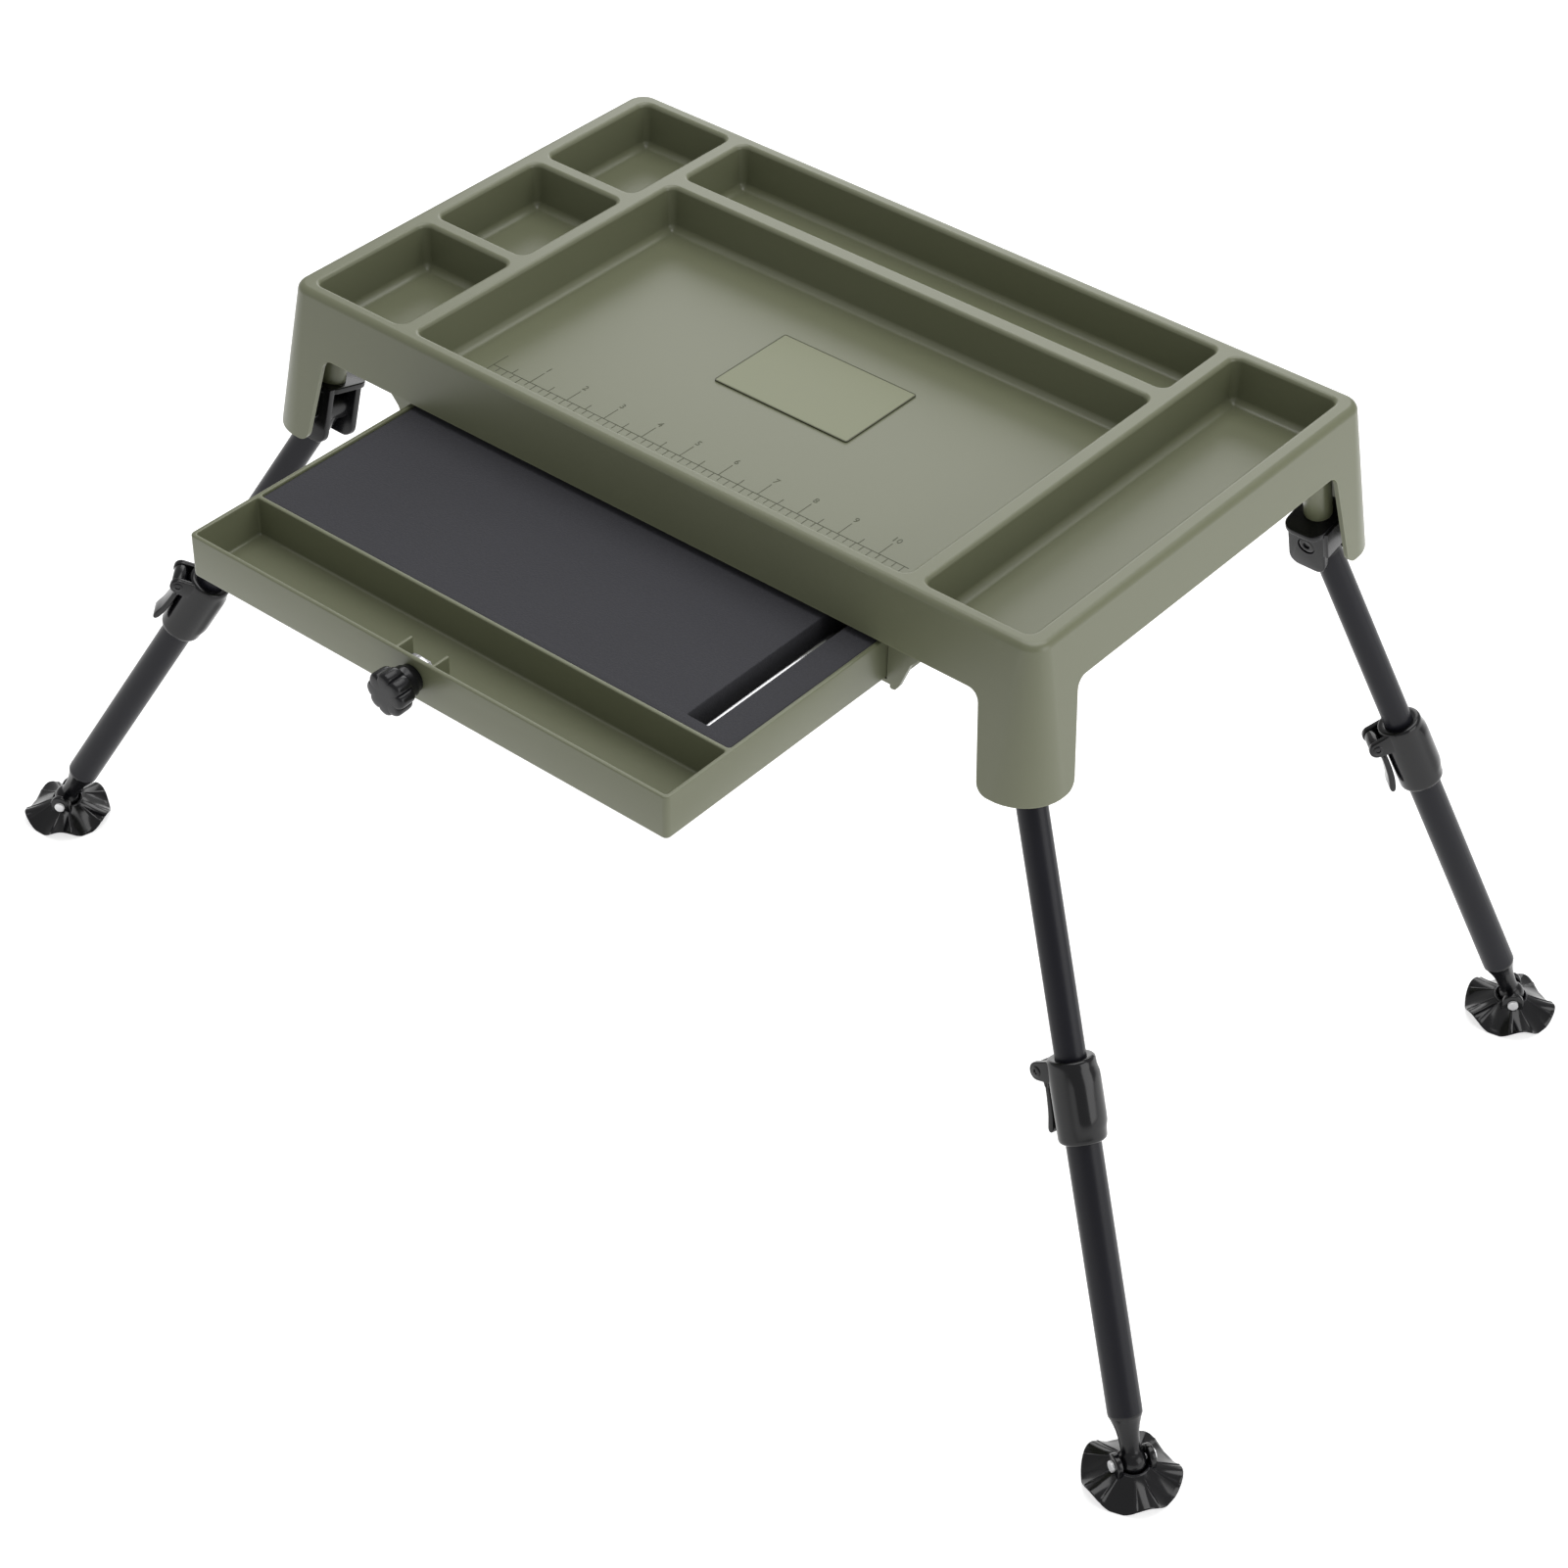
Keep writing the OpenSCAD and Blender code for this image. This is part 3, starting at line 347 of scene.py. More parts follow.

# Painted shade: the ruler's moulded lines and numbers and the groove round the label are coloured
# dark, as the shade in them.
groove_shade = Finish("painted_groove_shade", IOR=1.47)
cloud = groove_shade.noise(groove_shade.place(), 220.0, 3.0)
groove_shade.feed(Base_Color=groove_shade.tint(cloud, srgb(60, 63, 44), srgb(76, 79, 58)),
         Roughness=cloud * 0.2 + 0.45)

# %% [markdown]
# ## Surfaces from numbers
#
# Most of the pieces are lofts: closed rings of points, one above another, joined by
# quadrilaterals. The helpers below turn whole arrays of points into a mesh, in one step.

# %% Grids and lofts


def build(name, points, faces, material, smooth=35.0):
    """A mesh object from points and faces, pointing outwards, smooth where faces meet at
    less than the given angle in degrees."""
    mesh = bpy.data.meshes.new(name)
    mesh.from_pydata(points.tolist(), [], faces)
    mesh.validate()
    mesh.update()
    made = link(name, mesh)
    mesh.materials.append(material)
    soften(made, smooth)
    return made


def soften(piece, angle):
    """Smooth shading, broken at edges sharper than the angle."""
    mesh = piece.data
    mesh.polygons.foreach_set("use_smooth", np.ones(len(mesh.polygons), bool))
    mesh.set_sharp_from_angle(angle=math.radians(angle))
    mesh.update()


def loft_faces(rows, columns, close_rows, start):
    """Faces of a grid whose rows are closed rings: every quadrilateral joins two points of a
    row with the two above. Open stacks get a lid at each end."""
    row = np.arange(rows if close_rows else rows - 1)
    i, j = np.meshgrid(row, np.arange(columns), indexing="ij")
    i2, j2 = (i + 1) % rows, (j + 1) % columns
    quads = np.stack([i * columns + j, i * columns + j2, i2 * columns + j2, i2 * columns + j], -1)
    faces = (quads.reshape(-1, 4) + start).tolist()
    if not close_rows:
        faces.append((np.arange(columns)[::-1] + start).tolist())
        faces.append((np.arange(columns) + (rows - 1) * columns + start).tolist())
    return faces


def volume(stack):
    """Signed volume of a loft: the tetrahedra from its first point to each of its triangles,
    positive when its faces point outwards."""
    p = stack - stack[0, 0]
    a, b = p[:-1], np.roll(p[:-1], -1, 1)
    c, d = np.roll(p[1:], -1, 1), p[1:]
    sides = np.einsum("ijk,ijk", a, np.cross(b, c)) + np.einsum("ijk,ijk", a, np.cross(c, d))
    lids = [np.einsum("ij,j->", np.cross(q[1:-1], q[2:]), q[0]) for q in (p[0], p[-1])]
    return (sides - lids[0] + lids[1]) / 6


def shells(stacks):
    """Several closed lofts as one set of points and faces, each turned outwards. A stack
    whose last ring repeats its first is a closed tube and gets no lids."""
    points, faces, start = [], [], 0
    for stack in stacks:
        looped = np.allclose(stack[0], stack[-1])
        stack = stack if volume(stack) > 0 else stack[:, ::-1]
        stack = stack[:-1] if looped else stack
        rows, columns = stack.shape[:2]
        points.append(stack.reshape(-1, 3))
        faces += loft_faces(rows, columns, looped, start)
        start += rows * columns
    return np.concatenate(points), faces


def round_ring(half_x, half_y, radius, z, corner):
    """A rounded rectangle at one height, counter-clockwise: a quarter circle about each of
    its four corner centres."""
    turn = np.radians(np.arange(4)[:, None] * 90 + np.linspace(0, 90, corner + 1)[None, :])
    sx = np.array([1, -1, -1, 1])[:, None]
    sy = np.array([1, 1, -1, -1])[:, None]
    x = sx * (half_x - radius) + radius * np.cos(turn)
    y = sy * (half_y - radius) + radius * np.sin(turn)
    return np.stack([x, y, np.full_like(x, z)], -1).reshape(-1, 3)


def combine(base, tool, operation, self_cut=False):
    """Joins or cuts two closed meshes exactly, keeps the first and removes the second."""
    modifier = base.modifiers.new("cut", "BOOLEAN")
    modifier.operation, modifier.object, modifier.solver = operation, tool, "EXACT"
    modifier.use_self = self_cut
    graph = bpy.context.evaluated_depsgraph_get()
    mesh = bpy.data.meshes.new_from_object(base.evaluated_get(graph))
    base.modifiers.clear()
    old, base.data = base.data, mesh
    bpy.data.meshes.remove(old)
    bpy.data.objects.remove(tool)
    return base


def count(piece):
    """The piece's triangles, for the lesson's log."""
    return sum(len(p.vertices) - 2 for p in piece.data.polygons)


# %% [markdown]
# ## The tray
#
# The real tray is one moulding: an outer shell that flares downwards, six pockets with leaning
# walls and soft lips, and skirts that drop to the corners. It is made as a mould maker would
# see it: an outer loft, a hollow cut from below, and six pocket lofts cut from above.

# %% The tray's sizes
HALF_L, HALF_D, CORNER_R, WALL, FLARE = 241.2, 137.6, 10.5, 2.5, 0.17
RIM_ROUND, POCKET_DEPTH, DRAFT, FILLET, POCKET_R = 3.5, 26.0, 2.8, 4.0, 6.0
LIP = 2.2
FLOOR_Z = RIM - POCKET_DEPTH
SKIRT_H, SKIRT_STEP = 84.0, 30.0
SKIRT_Z = RIM - SKIRT_H
UNDER_Z = FLOOR_Z - WALL
POCKETS = np.array([[-232, -168, -130, -47], [-232, -168, -39.5, 39.5],
                    [-232, -168, 47, 130], [-160, 160, -130, 70],
                    [-160, 160, 79, 130], [168, 232, -130, 130]], float)


# %% Lofts of the tray
def tray_body(inset, top, bottom, edge, corner=12):
    """The outer form: rounded rectangles that grow by the flare as they go down, and draw in
    over a quarter circle at the rim."""
    rings = []
    for z in (bottom, bottom + SKIRT_STEP, bottom + 2 * SKIRT_STEP):
        lean = FLARE * (RIM - z)
        rings.append(round_ring(HALF_L - inset + lean, HALF_D - inset + lean,
                                CORNER_R - inset + lean, z, corner))
    for a in np.radians(np.linspace(0, 90, 9 if edge else 1)):
        z = top - edge * (1 - math.sin(a))
        grow = FLARE * (RIM - z) - edge * (1 - math.cos(a))
        rings.append(round_ring(HALF_L - inset + grow, HALF_D - inset + grow,
                                max(CORNER_R - inset + grow, 2.0), z, corner))
    return np.array(rings)


def pocket_body(edges, grow, top, lip, corner=10):
    """A pocket's space: a floor with a quarter-round fillet, leaning walls, and a lip that
    opens over a quarter circle at the rim."""
    half_x, half_y = (edges[1] - edges[0]) / 2 + grow, (edges[3] - edges[2]) / 2 + grow
    low, fillet, rise = FLOOR_Z - grow, FILLET + grow, DRAFT / POCKET_DEPTH
    rings = []
    for a in np.radians(np.linspace(0, 90, 9)):
        z = low + fillet * (1 - math.cos(a))
        inward = fillet * (1 - math.sin(a)) + rise * (RIM - z)
        rings.append(round_ring(half_x - inward, half_y - inward,
                                max(POCKET_R + grow - inward, 0.8), z, corner))
    if lip:
        for a in np.radians(np.linspace(0, 90, 8)):
            z = RIM - lip * (1 - math.sin(a))
            out = lip * (1 - math.cos(a)) - rise * (RIM - z) * math.cos(a)
            rings.append(round_ring(half_x - lip * 0.45 + out, half_y - lip * 0.45 + out,
                                    POCKET_R - lip * 0.45 + out, z, corner))
        rings.append(round_ring(half_x + lip * 0.55, half_y + lip * 0.55,
                                POCKET_R + lip * 0.55, RIM + 2.0, corner))
    else:
        inward = rise * (RIM - top)
        rings.append(round_ring(half_x - inward, half_y - inward, POCKET_R + grow, top, corner))
    centre = [(edges[0] + edges[1]) / 2, (edges[2] + edges[3]) / 2, 0]
    return np.array(rings) + centre


def solid(name, stacks, material=olive.material):
    """A mesh object of one or more closed lofts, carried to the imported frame."""
    points, faces = shells(stacks)
    return build(name, place(points), faces, material)


tray = solid("tray_moulding", [tray_body(0.0, RIM, SKIRT_Z, RIM_ROUND)])
hollow = solid("hollow", [tray_body(WALL, RIM - WALL, SKIRT_Z - 1.0, 0.0)])
cups = solid("cups", [pocket_body(p, WALL, RIM - WALL / 2, 0.0) for p in POCKETS])
hollow = combine(hollow, cups, "DIFFERENCE")
tray = combine(tray, hollow, "DIFFERENCE")
print("tray shell", count(tray), "triangles")

# %% [markdown]
# Between the corner skirts the sides are cut up in a wide low arch, on all four sides. One
# long prism does the front and the back together, and another the left and the right.

# %% Arches between the corner skirts
SKIRT_W, ARCH_R, FOOT_R = 33.0, 7.0, 7.0
FRONT_SKIRT, SIDE_SKIRT, FRONT_SPAN, SIDE_SPAN = 33.0, 29.0, 190.0, 290.0


def arch_outline(half, skirt, steps=7):
    """Half of the arch's outline: a round into the skirt's edge, a straight side that leans
    with the flare, and a round at the corner skirt's foot, mirrored to the other half."""
    tilt = math.atan(FLARE)
    x_top = half - SKIRT_W + FLARE * skirt
    x_low = half - SKIRT_W + FLARE * SKIRT_H
    touch = math.tan((math.pi / 2 - tilt) / 2)
    t1, t2 = ARCH_R * touch, FOOT_R * touch
    a = np.linspace(math.pi / 2, tilt, steps)
    upper = np.stack([x_top - t1 + ARCH_R * np.cos(a),
                      RIM - skirt - ARCH_R + ARCH_R * np.sin(a)], 1)
    a = np.linspace(math.pi + tilt, math.radians(266), steps)
    lower = np.stack([x_low + t2 + FOOT_R * np.cos(a), SKIRT_Z + FOOT_R + FOOT_R * np.sin(a)], 1)
    side = np.concatenate([upper, lower, [[x_low + t2, SKIRT_Z - 2.0]]])
    return np.concatenate([side[::-1] * [-1, 1], side])


def prism(outline, span, along):
    """A closed outline carried straight along X or Y, the span to each side."""
    ends = []
    for t in (-span, span):
        u, z = outline[:, 0], outline[:, 1]
        across = np.full_like(u, t)
        ends.append(np.stack([u, across, z] if along == "y" else [across, u, z], 1))
    return np.array(ends)


for half, skirt, span, along in ((HALF_L, FRONT_SKIRT, FRONT_SPAN, "y"),
                                 (HALF_D, SIDE_SKIRT, SIDE_SPAN, "x")):
    arch = solid("arch", [prism(arch_outline(half, skirt), span, along)])
    tray = combine(tray, arch, "DIFFERENCE")
print("with arches", count(tray), "triangles")

# %% [markdown]
# Under the tray hang two runner walls with ledges for the drawer. Triangular gussets brace
# them from outside, and a round boss in each corner takes the hinge bracket's screw.

# %% Runners, ledges, gussets and bosses
DRAWER_HALF, DRAWER_TOP, DRAWER_LOW = 154.5, RIM - 36.0, RIM - 60.5
RUN_IN, RUN_OUT = 155.0, 157.5
LEDGE_TOP = DRAWER_LOW - 0.3
TOOTH = DRAWER_LOW - 4.5
RUN_TOP = UNDER_Z + WALL * 0.8
RUN_Y = HALF_D - WALL
GUSSET_T, GUSSET_OUT = 2.5, 22.0


def bar(x0, x1, y0, y1, z0, z1, ease=0.4):
    """A straight bar with its long edges eased: an eight-cornered section carried along Y."""
    e = ease
    section = np.array([[x0 + e, z0], [x1 - e, z0], [x1, z0 + e], [x1, z1 - e],
                        [x1 - e, z1], [x0 + e, z1], [x0, z1 - e], [x0, z0 + e]])
    return np.array([np.stack([section[:, 0], np.full(8, y), section[:, 1]], 1) for y in (y0, y1)])


def gusset(side, y):
    """One brace: a tooth that is narrow at the ledge and widens up to the tray's underside,
    with its point rounded."""
    outline = np.array([[RUN_OUT - 0.6, RUN_TOP], [RUN_OUT - 0.6, TOOTH + 0.6],
                        [RUN_OUT + 0.6, TOOTH], [RUN_OUT + 2.6, TOOTH + 0.4],
                        [RUN_OUT + 4.8, TOOTH + 3.6],
                        [RUN_OUT + GUSSET_OUT * 0.5, DRAWER_TOP - 10.0],
                        [RUN_OUT + GUSSET_OUT * 0.72, DRAWER_TOP - 4.5],
                        [RUN_OUT + GUSSET_OUT, UNDER_Z - 3.0], [RUN_OUT + GUSSET_OUT, RUN_TOP]])
    faces = [np.stack([side * outline[:, 0], np.full(len(outline), v), outline[:, 1]], 1)
             for v in (y, y + GUSSET_T)]
    return np.array(faces)


braces = []
for side in (-1, 1):
    inner, outer = sorted((side * RUN_IN, side * RUN_OUT))
    braces.append(bar(inner, outer, -RUN_Y, RUN_Y, LEDGE_TOP - 2.0, RUN_TOP))
    lip = sorted((side * (DRAWER_HALF - 5.0), side * (RUN_IN + 0.3)))
    braces.append(bar(lip[0], lip[1], -RUN_Y, RUN_Y, LEDGE_TOP - 2.0, LEDGE_TOP, 0.3))
    for y in np.linspace(-RUN_Y, RUN_Y - GUSSET_T, 4):
        braces.append(gusset(side, y))

# %% [markdown]
# Each leg has a name, the side of the table it stands on in X and in Y, the turn of its clamp
# lever about the tube and the angle by which it is folded open, both in degrees.

# %% Where the legs stand
LEGS = {"fl": (-1, -1, 224, 27.4), "fr": (1, -1, 168, 25.2), "rl": (-1, 1, -50, 24.0),
        "rr": (1, 1, 230, 20.2)}
HINGE = np.array([232.0, 126.0, RIM - 78.0])
LEAN, LEG_DROP, MIDDLE_REACH = 15.0, 308.5, 353.0


def turn(axis, degrees):
    """A 4 x 4 rotation about X, Y or Z."""
    return np.array(Matrix.Rotation(math.radians(degrees), 4, axis))


def shift(x, y, z):
    """A 4 x 4 move."""
    return np.array(Matrix.Translation((x, y, z)))


def hinge_frame(leg):
    """The hinge's frame: Y along the pin, Z up the bracket, which leans with the leg."""
    sx, sy = LEGS[leg][:2]
    return shift(*(HINGE * [sx, sy, 1])) @ turn("X", sy * LEAN)


def leg_frame(leg):
    """The leg's frame: Z runs back up the tube to the hinge."""
    return hinge_frame(leg) @ turn("Y", -LEGS[leg][0] * LEGS[leg][3])


def reach(leg):
    """How far the leg is drawn out: the hinge's height over the ball, divided by the cosines
    of the leg's two leans."""
    return LEG_DROP / math.cos(math.radians(LEGS[leg][3])) / math.cos(math.radians(LEAN))


def lower_frame(leg):
    """The leg's frame, slid down with the lower tube."""
    return leg_frame(leg) @ shift(0, 0, MIDDLE_REACH - reach(leg))


def foot_frame(leg):
    """The foot's frame at the ball: upright, with Y along the foot's screw."""
    sx, sy, _, opened = LEGS[leg]
    out, lean = math.radians(opened), math.radians(LEAN)
    about = math.degrees(math.atan2(math.cos(out) * math.sin(lean), math.sin(out)))
    return (leg_frame(leg) @ shift(0, 0, -reach(leg)) @ turn("Y", sx * opened)
            @ turn("X", -sy * LEAN) @ turn("Z", about if sx * sy > 0 else -about))


def disc(radius, steps=28):
    """A circle's outline."""
    a = np.linspace(0, 2 * math.pi, steps, endpoint=False)
    return np.stack([radius * np.cos(a), radius * np.sin(a)], 1)


def tower(radius, low, high, steps=32):
    """An upright cylinder as a stack of two rings."""
    return np.array([np.column_stack([disc(radius, steps), np.full(steps, z)])
                     for z in (low, high)])


def carried(stack, matrix):
    """A stack of rings moved by a 4 x 4 matrix."""
    return stack @ matrix[:3, :3].T + matrix[:3, 3]


BOSS_R, BOSS_LOW, BOSS_TOP = 7.5, 15.5, 62.0
bosses = [carried(tower(BOSS_R, BOSS_LOW, BOSS_TOP), hinge_frame(leg)) for leg in LEGS]
tray = combine(tray, solid("braces", braces + bosses), "UNION", self_cut=True)
wells = solid("wells", [pocket_body(p, 0.0, RIM, LIP) for p in POCKETS])
tray = combine(tray, wells, "DIFFERENCE")
soften(tray, 32.0)
weigh = tray.modifiers.new("weigh", "WEIGHTED_NORMAL")
weigh.keep_sharp = True
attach(tray, "table")
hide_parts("tray")
print("tray done", count(tray), "triangles")

# %% [markdown]
# ## The ruler and the label plate
#
# The mould leaves a ruler on the main pocket's floor: inches with numbers behind its base
# line, centimetres in front. Every mark is a thin bar, coloured dark as painted shade, and all
# of them are one mesh. The label plate beside it is bare, with a fine line of painted shade
# around its edge where its groove is.

# %% Ruler marks
RULE_X, RULE_Y, RULE_END, MARK_W = -136.5, -96.3, 136.0, 0.42
INCH, CM, LONG_INCH, SHORT_INCH, LONG_CM, SHORT_CM = 25.4, 10.0, 11.0, 5.0, 5.6, 4.0
NUMBER_UP, NUMBER_H = 14.6, 4.0


def marks(x, y0, y1, width=MARK_W):
    """One thin bar across the ruler at each x."""
    low, high = FLOOR_Z - 0.1, FLOOR_Z + 0.1
    corners = np.array([[-1, 0], [1, 0], [1, 1], [-1, 1]])
    flat = np.stack([x[:, None] + corners[:, 0] * width / 2,
                     y0 + corners[:, 1] * (y1 - y0) + 0 * x[:, None]], -1)
    return [np.stack([np.column_stack([square, np.full(4, z)]) for z in (low, high)])
            for square in flat]


inches, halves = RULE_X + INCH * np.arange(11), RULE_X + INCH * (np.arange(10) + 0.5)
whole_cm, half_cm = RULE_X + CM * np.arange(28), RULE_X + CM * (np.arange(27) + 0.5)
rule_bars = [*marks(inches, RULE_Y, RULE_Y + LONG_INCH),
             *marks(halves, RULE_Y, RULE_Y + SHORT_INCH),
             *marks(whole_cm, RULE_Y - LONG_CM, RULE_Y),
             *marks(half_cm, RULE_Y - SHORT_CM, RULE_Y),
             *marks(np.array([(RULE_X + RULE_END) / 2]), RULE_Y - MARK_W / 2,
                    RULE_Y + MARK_W / 2, RULE_END - RULE_X)]
# Painted shade: the marks are coloured dark, as the shade in the moulded lines.
ruler = solid("ruler_marks", rule_bars, groove_shade.material)
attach(ruler, "table")
print(len(rule_bars), "ruler marks")


# %% Ruler numbers
def flat_text(text, x, y, height):
    """Points and faces of a number that lies on the pocket floor, centred on x and y."""
    curve = bpy.data.curves.new("number", "FONT")
    curve.body, curve.align_x, curve.align_y = text, "CENTER", "CENTER"
    curve.size, curve.extrude, curve.resolution_u = height / 0.72, 0.1, 3
    holder = link("number", curve)
    graph = bpy.context.evaluated_depsgraph_get()
    mesh = bpy.data.meshes.new_from_object(holder.evaluated_get(graph))
    points = np.empty(len(mesh.vertices) * 3)
    mesh.vertices.foreach_get("co", points)
    faces = [list(polygon.vertices) for polygon in mesh.polygons]
    bpy.data.objects.remove(holder)
    bpy.data.meshes.remove(mesh)
    return points.reshape(-1, 3) + [x, y, FLOOR_Z], faces


points, faces, start = [], [], 0
for inch in range(1, 11):
    p, f = flat_text(str(inch), inches[inch], RULE_Y + NUMBER_UP, NUMBER_H)
    points.append(p)
    faces += [[v + start for v in face] for face in f]
    start += len(p)
# Painted shade: the numbers are coloured dark, as the shade in the moulded figures.
numbers = build("ruler_numbers", place(np.concatenate(points)), faces, groove_shade.material, 20.0)
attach(numbers, "table")
print("numbers", count(numbers), "triangles")

# %% Label plate and the painted shade of the groove around it
LABEL_AT, LABEL_X, LABEL_Y, LABEL_R = np.array([2.5, -4.0, 0.0]), 43.5, 28.5, 1.2


def label_ring(grow, z):
    """The label's rounded outline, grown by a distance, at a height over the floor."""
    return round_ring(LABEL_X + grow, LABEL_Y + grow, LABEL_R + grow, FLOOR_Z + z, 4) + LABEL_AT


plate_rings = np.array([label_ring(-d, z) for d, z in (
    (0.0, -0.1), (0.0, 0.45), (0.1, 0.62), (0.35, 0.76), (0.6, 0.8), (0.9, 0.8))])
plate = solid("label_face", [plate_rings], label.material)
weigh = plate.modifiers.new("weigh", "WEIGHTED_NORMAL")
weigh.keep_sharp = True
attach(plate, "table")
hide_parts("label_plate")
# Painted shade: a dark band where the groove around the plate is.
border = np.array([label_ring(d, z) for d, z in (
    (0.3, -0.1), (0.3, 0.84), (-0.3, 0.84), (-0.3, -0.1), (0.3, -0.1))])
outline = solid("label_groove_shade", [border], groove_shade.material)
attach(outline, "table")
print("label plate", count(plate), "triangles")

# %% [markdown]
# ## The drawer and its foam
#
# The drawer is moulded too: thin walls with rounded tops, a divider behind the front
# compartment and two ribs beside the knob's bolt. The foam pad is cut from a sheet with a
# knife, so its top edges are only just rounded, and its slot goes right through.


# %% Blocks with rounded edges
def block(x, y, z, radius, low=0.0, top=0.0, corner=6, steps=5):
    """A box with rounded upright corners and quarter-round lower and upper edges. A negative
    top flares out instead, for a tool that leaves a rounded lip."""
    centre = [sum(x) / 2, sum(y) / 2, 0]
    half_x, half_y = (x[1] - x[0]) / 2, (y[1] - y[0]) / 2
    a = np.linspace(0, math.pi / 2, steps)
    grow, level = [], []
    if low:
        grow += list(-low * (1 - np.sin(a)))
        level += list(z[0] + low * (1 - np.cos(a)))
    else:
        grow, level = [0.0], [z[0]]
    if top > 0:
        grow += list(-top * (1 - np.cos(a)))
        level += list(z[1] - top * (1 - np.sin(a)))
    elif top < 0:
        grow += list(-top * (1 - np.cos(a))) + [-top]
        level += list(z[1] + top * (1 - np.sin(a))) + [z[1] + 1.0]
    else:
        grow.append(0.0)
        level.append(z[1])
    return np.array([round_ring(half_x + g, half_y + g, max(radius + g, 0.25), h, corner)
                     for g, h in zip(grow, level)]) + centre


# %% Drawer
FRONT_Y, REAR_Y, DIVIDER_Y, WALL_D = -293.5, -41.0, -250.0, 2.5
KNOB_AT = np.array([-3.5, FRONT_Y, DRAWER_TOP - 11.5])
RIB_OUT, RIB_HALF, RIB_REACH, BOLT_R = 11.8, 0.9, 10.0, 3.05
inner_x = (-DRAWER_HALF + WALL_D, DRAWER_HALF - WALL_D)
drawer = solid("drawer_tub", [block((-DRAWER_HALF, DRAWER_HALF), (FRONT_Y, REAR_Y),
                                    (DRAWER_LOW, DRAWER_TOP), 3.0, 1.6, 0.8)])
spaces = [block(inner_x, (FRONT_Y + WALL_D, DIVIDER_Y), (DRAWER_LOW + WALL_D, DRAWER_TOP),
                1.6, 1.4, -0.7),
          block(inner_x, (DIVIDER_Y + WALL_D, REAR_Y - WALL_D),
                (DRAWER_LOW + WALL_D, DRAWER_TOP), 1.6, 1.4, -0.7)]
drawer = combine(drawer, solid("spaces", spaces), "DIFFERENCE")
ribs = [block((KNOB_AT[0] + side * RIB_OUT - RIB_HALF, KNOB_AT[0] + side * RIB_OUT + RIB_HALF),
              (FRONT_Y + 1.2, FRONT_Y + WALL_D + RIB_REACH),
              (DRAWER_LOW + 1.2, DRAWER_TOP - 0.2), 0.7, 0.0, 0.6) for side in (-1, 1)]
drawer = combine(drawer, solid("ribs", ribs), "UNION")
hole = carried(tower(BOLT_R, -2.0, 4.0), shift(*KNOB_AT) @ turn("X", -90))
drawer = combine(drawer, solid("hole", [hole]), "DIFFERENCE")
soften(drawer, 32.0)
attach(drawer, "drawer")
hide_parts("drawer")
print("drawer", count(drawer), "triangles")

# %% Foam pad
FOAM_X, FOAM_Y, FOAM_Z = 151.7, (-247.2, -43.8), (DRAWER_LOW + 2.8, DRAWER_TOP - 1.0)
SLOT_X, SLOT_Y = (FOAM_X - 31.5, FOAM_X - 18.5), (-240.2, -60.2)
pad = solid("foam_sheet", [block((-FOAM_X, FOAM_X), FOAM_Y, FOAM_Z, 1.0, 0.0, 0.9)],
            foam.material)
slot_cut = solid("slot", [block(SLOT_X, SLOT_Y, (FOAM_Z[0] - 2.0, FOAM_Z[1]), 0.9, 0.0, -0.7)])
pad = combine(pad, slot_cut, "DIFFERENCE")
soften(pad, 40.0)
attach(pad, "drawer")
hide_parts("foam_pad")
print("foam", count(pad), "triangles")

# %% [markdown]
# ## The knob
#
# A black star knob pulls the drawer. Its head is a surface of revolution whose radius rises
# to eight rounded lobes with sharp valleys between them, fully on the grip and fading out on
# the collar behind it and on the face.

# %% Knob
KNOB_PROFILE = np.array([[3.1, 0.0, 0], [6.9, 0.0, 0], [7.3, 0.4, 0], [7.3, 1.6, 0],
                         [7.7, 2.6, 0], [8.3, 3.6, 0], [8.5, 5.0, 0], [8.5, 7.6, 0],
                         [8.7, 8.2, 0.2], [9.6, 8.7, 0.7], [10.4, 9.3, 1], [10.9, 10.4, 1],
                         [11.1, 12.4, 1], [11.2, 16.6, 1], [11.1, 17.8, 1], [10.7, 18.6, 0.95],
                         [9.9, 19.2, 0.7], [8.4, 19.45, 0.35], [5.0, 19.5, 0.05], [0.4, 19.5, 0]])
KNOB_STEPS, KNOB_OFF = 144, 0.05
around = np.linspace(0, 2 * math.pi, KNOB_STEPS, endpoint=False)
lobes = 2.1 * np.abs(np.cos(4 * around)) ** 0.55 - 1.5
radius = KNOB_PROFILE[:, :1] + KNOB_PROFILE[:, 2:] * lobes
depth = np.repeat(KNOB_PROFILE[:, 1:2], KNOB_STEPS, 1)
head = np.stack([radius * np.cos(around), -depth, radius * np.sin(around)], -1)
knob = solid("star_knob", [head + KNOB_AT - [0, KNOB_OFF, 0]], black.material)
soften(knob, 50.0)
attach(knob, "knob")
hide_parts("knob")
print("knob", count(knob), "triangles")

# %% [markdown]
# ## Clamp collars and levers
#
# Each leg is drawn out and held by a collar with a cam lever. The collar is turned about the
# leg: rounded shoulders, a bore for the tubes, two ears for the lever's pin and a raised pad
# on the far side. The lever is a flat blade whose tip curls away from the tube.


# %% Plates with eased edges
def cut_corners(outline):
    """Chaikin's rule: each side keeps its middle half, so that corners round off."""
    after = np.roll(outline, -1, 0)
    return np.stack([0.75 * outline + 0.25 * after,
                     0.25 * outline + 0.75 * after], 1).reshape(-1, 2)


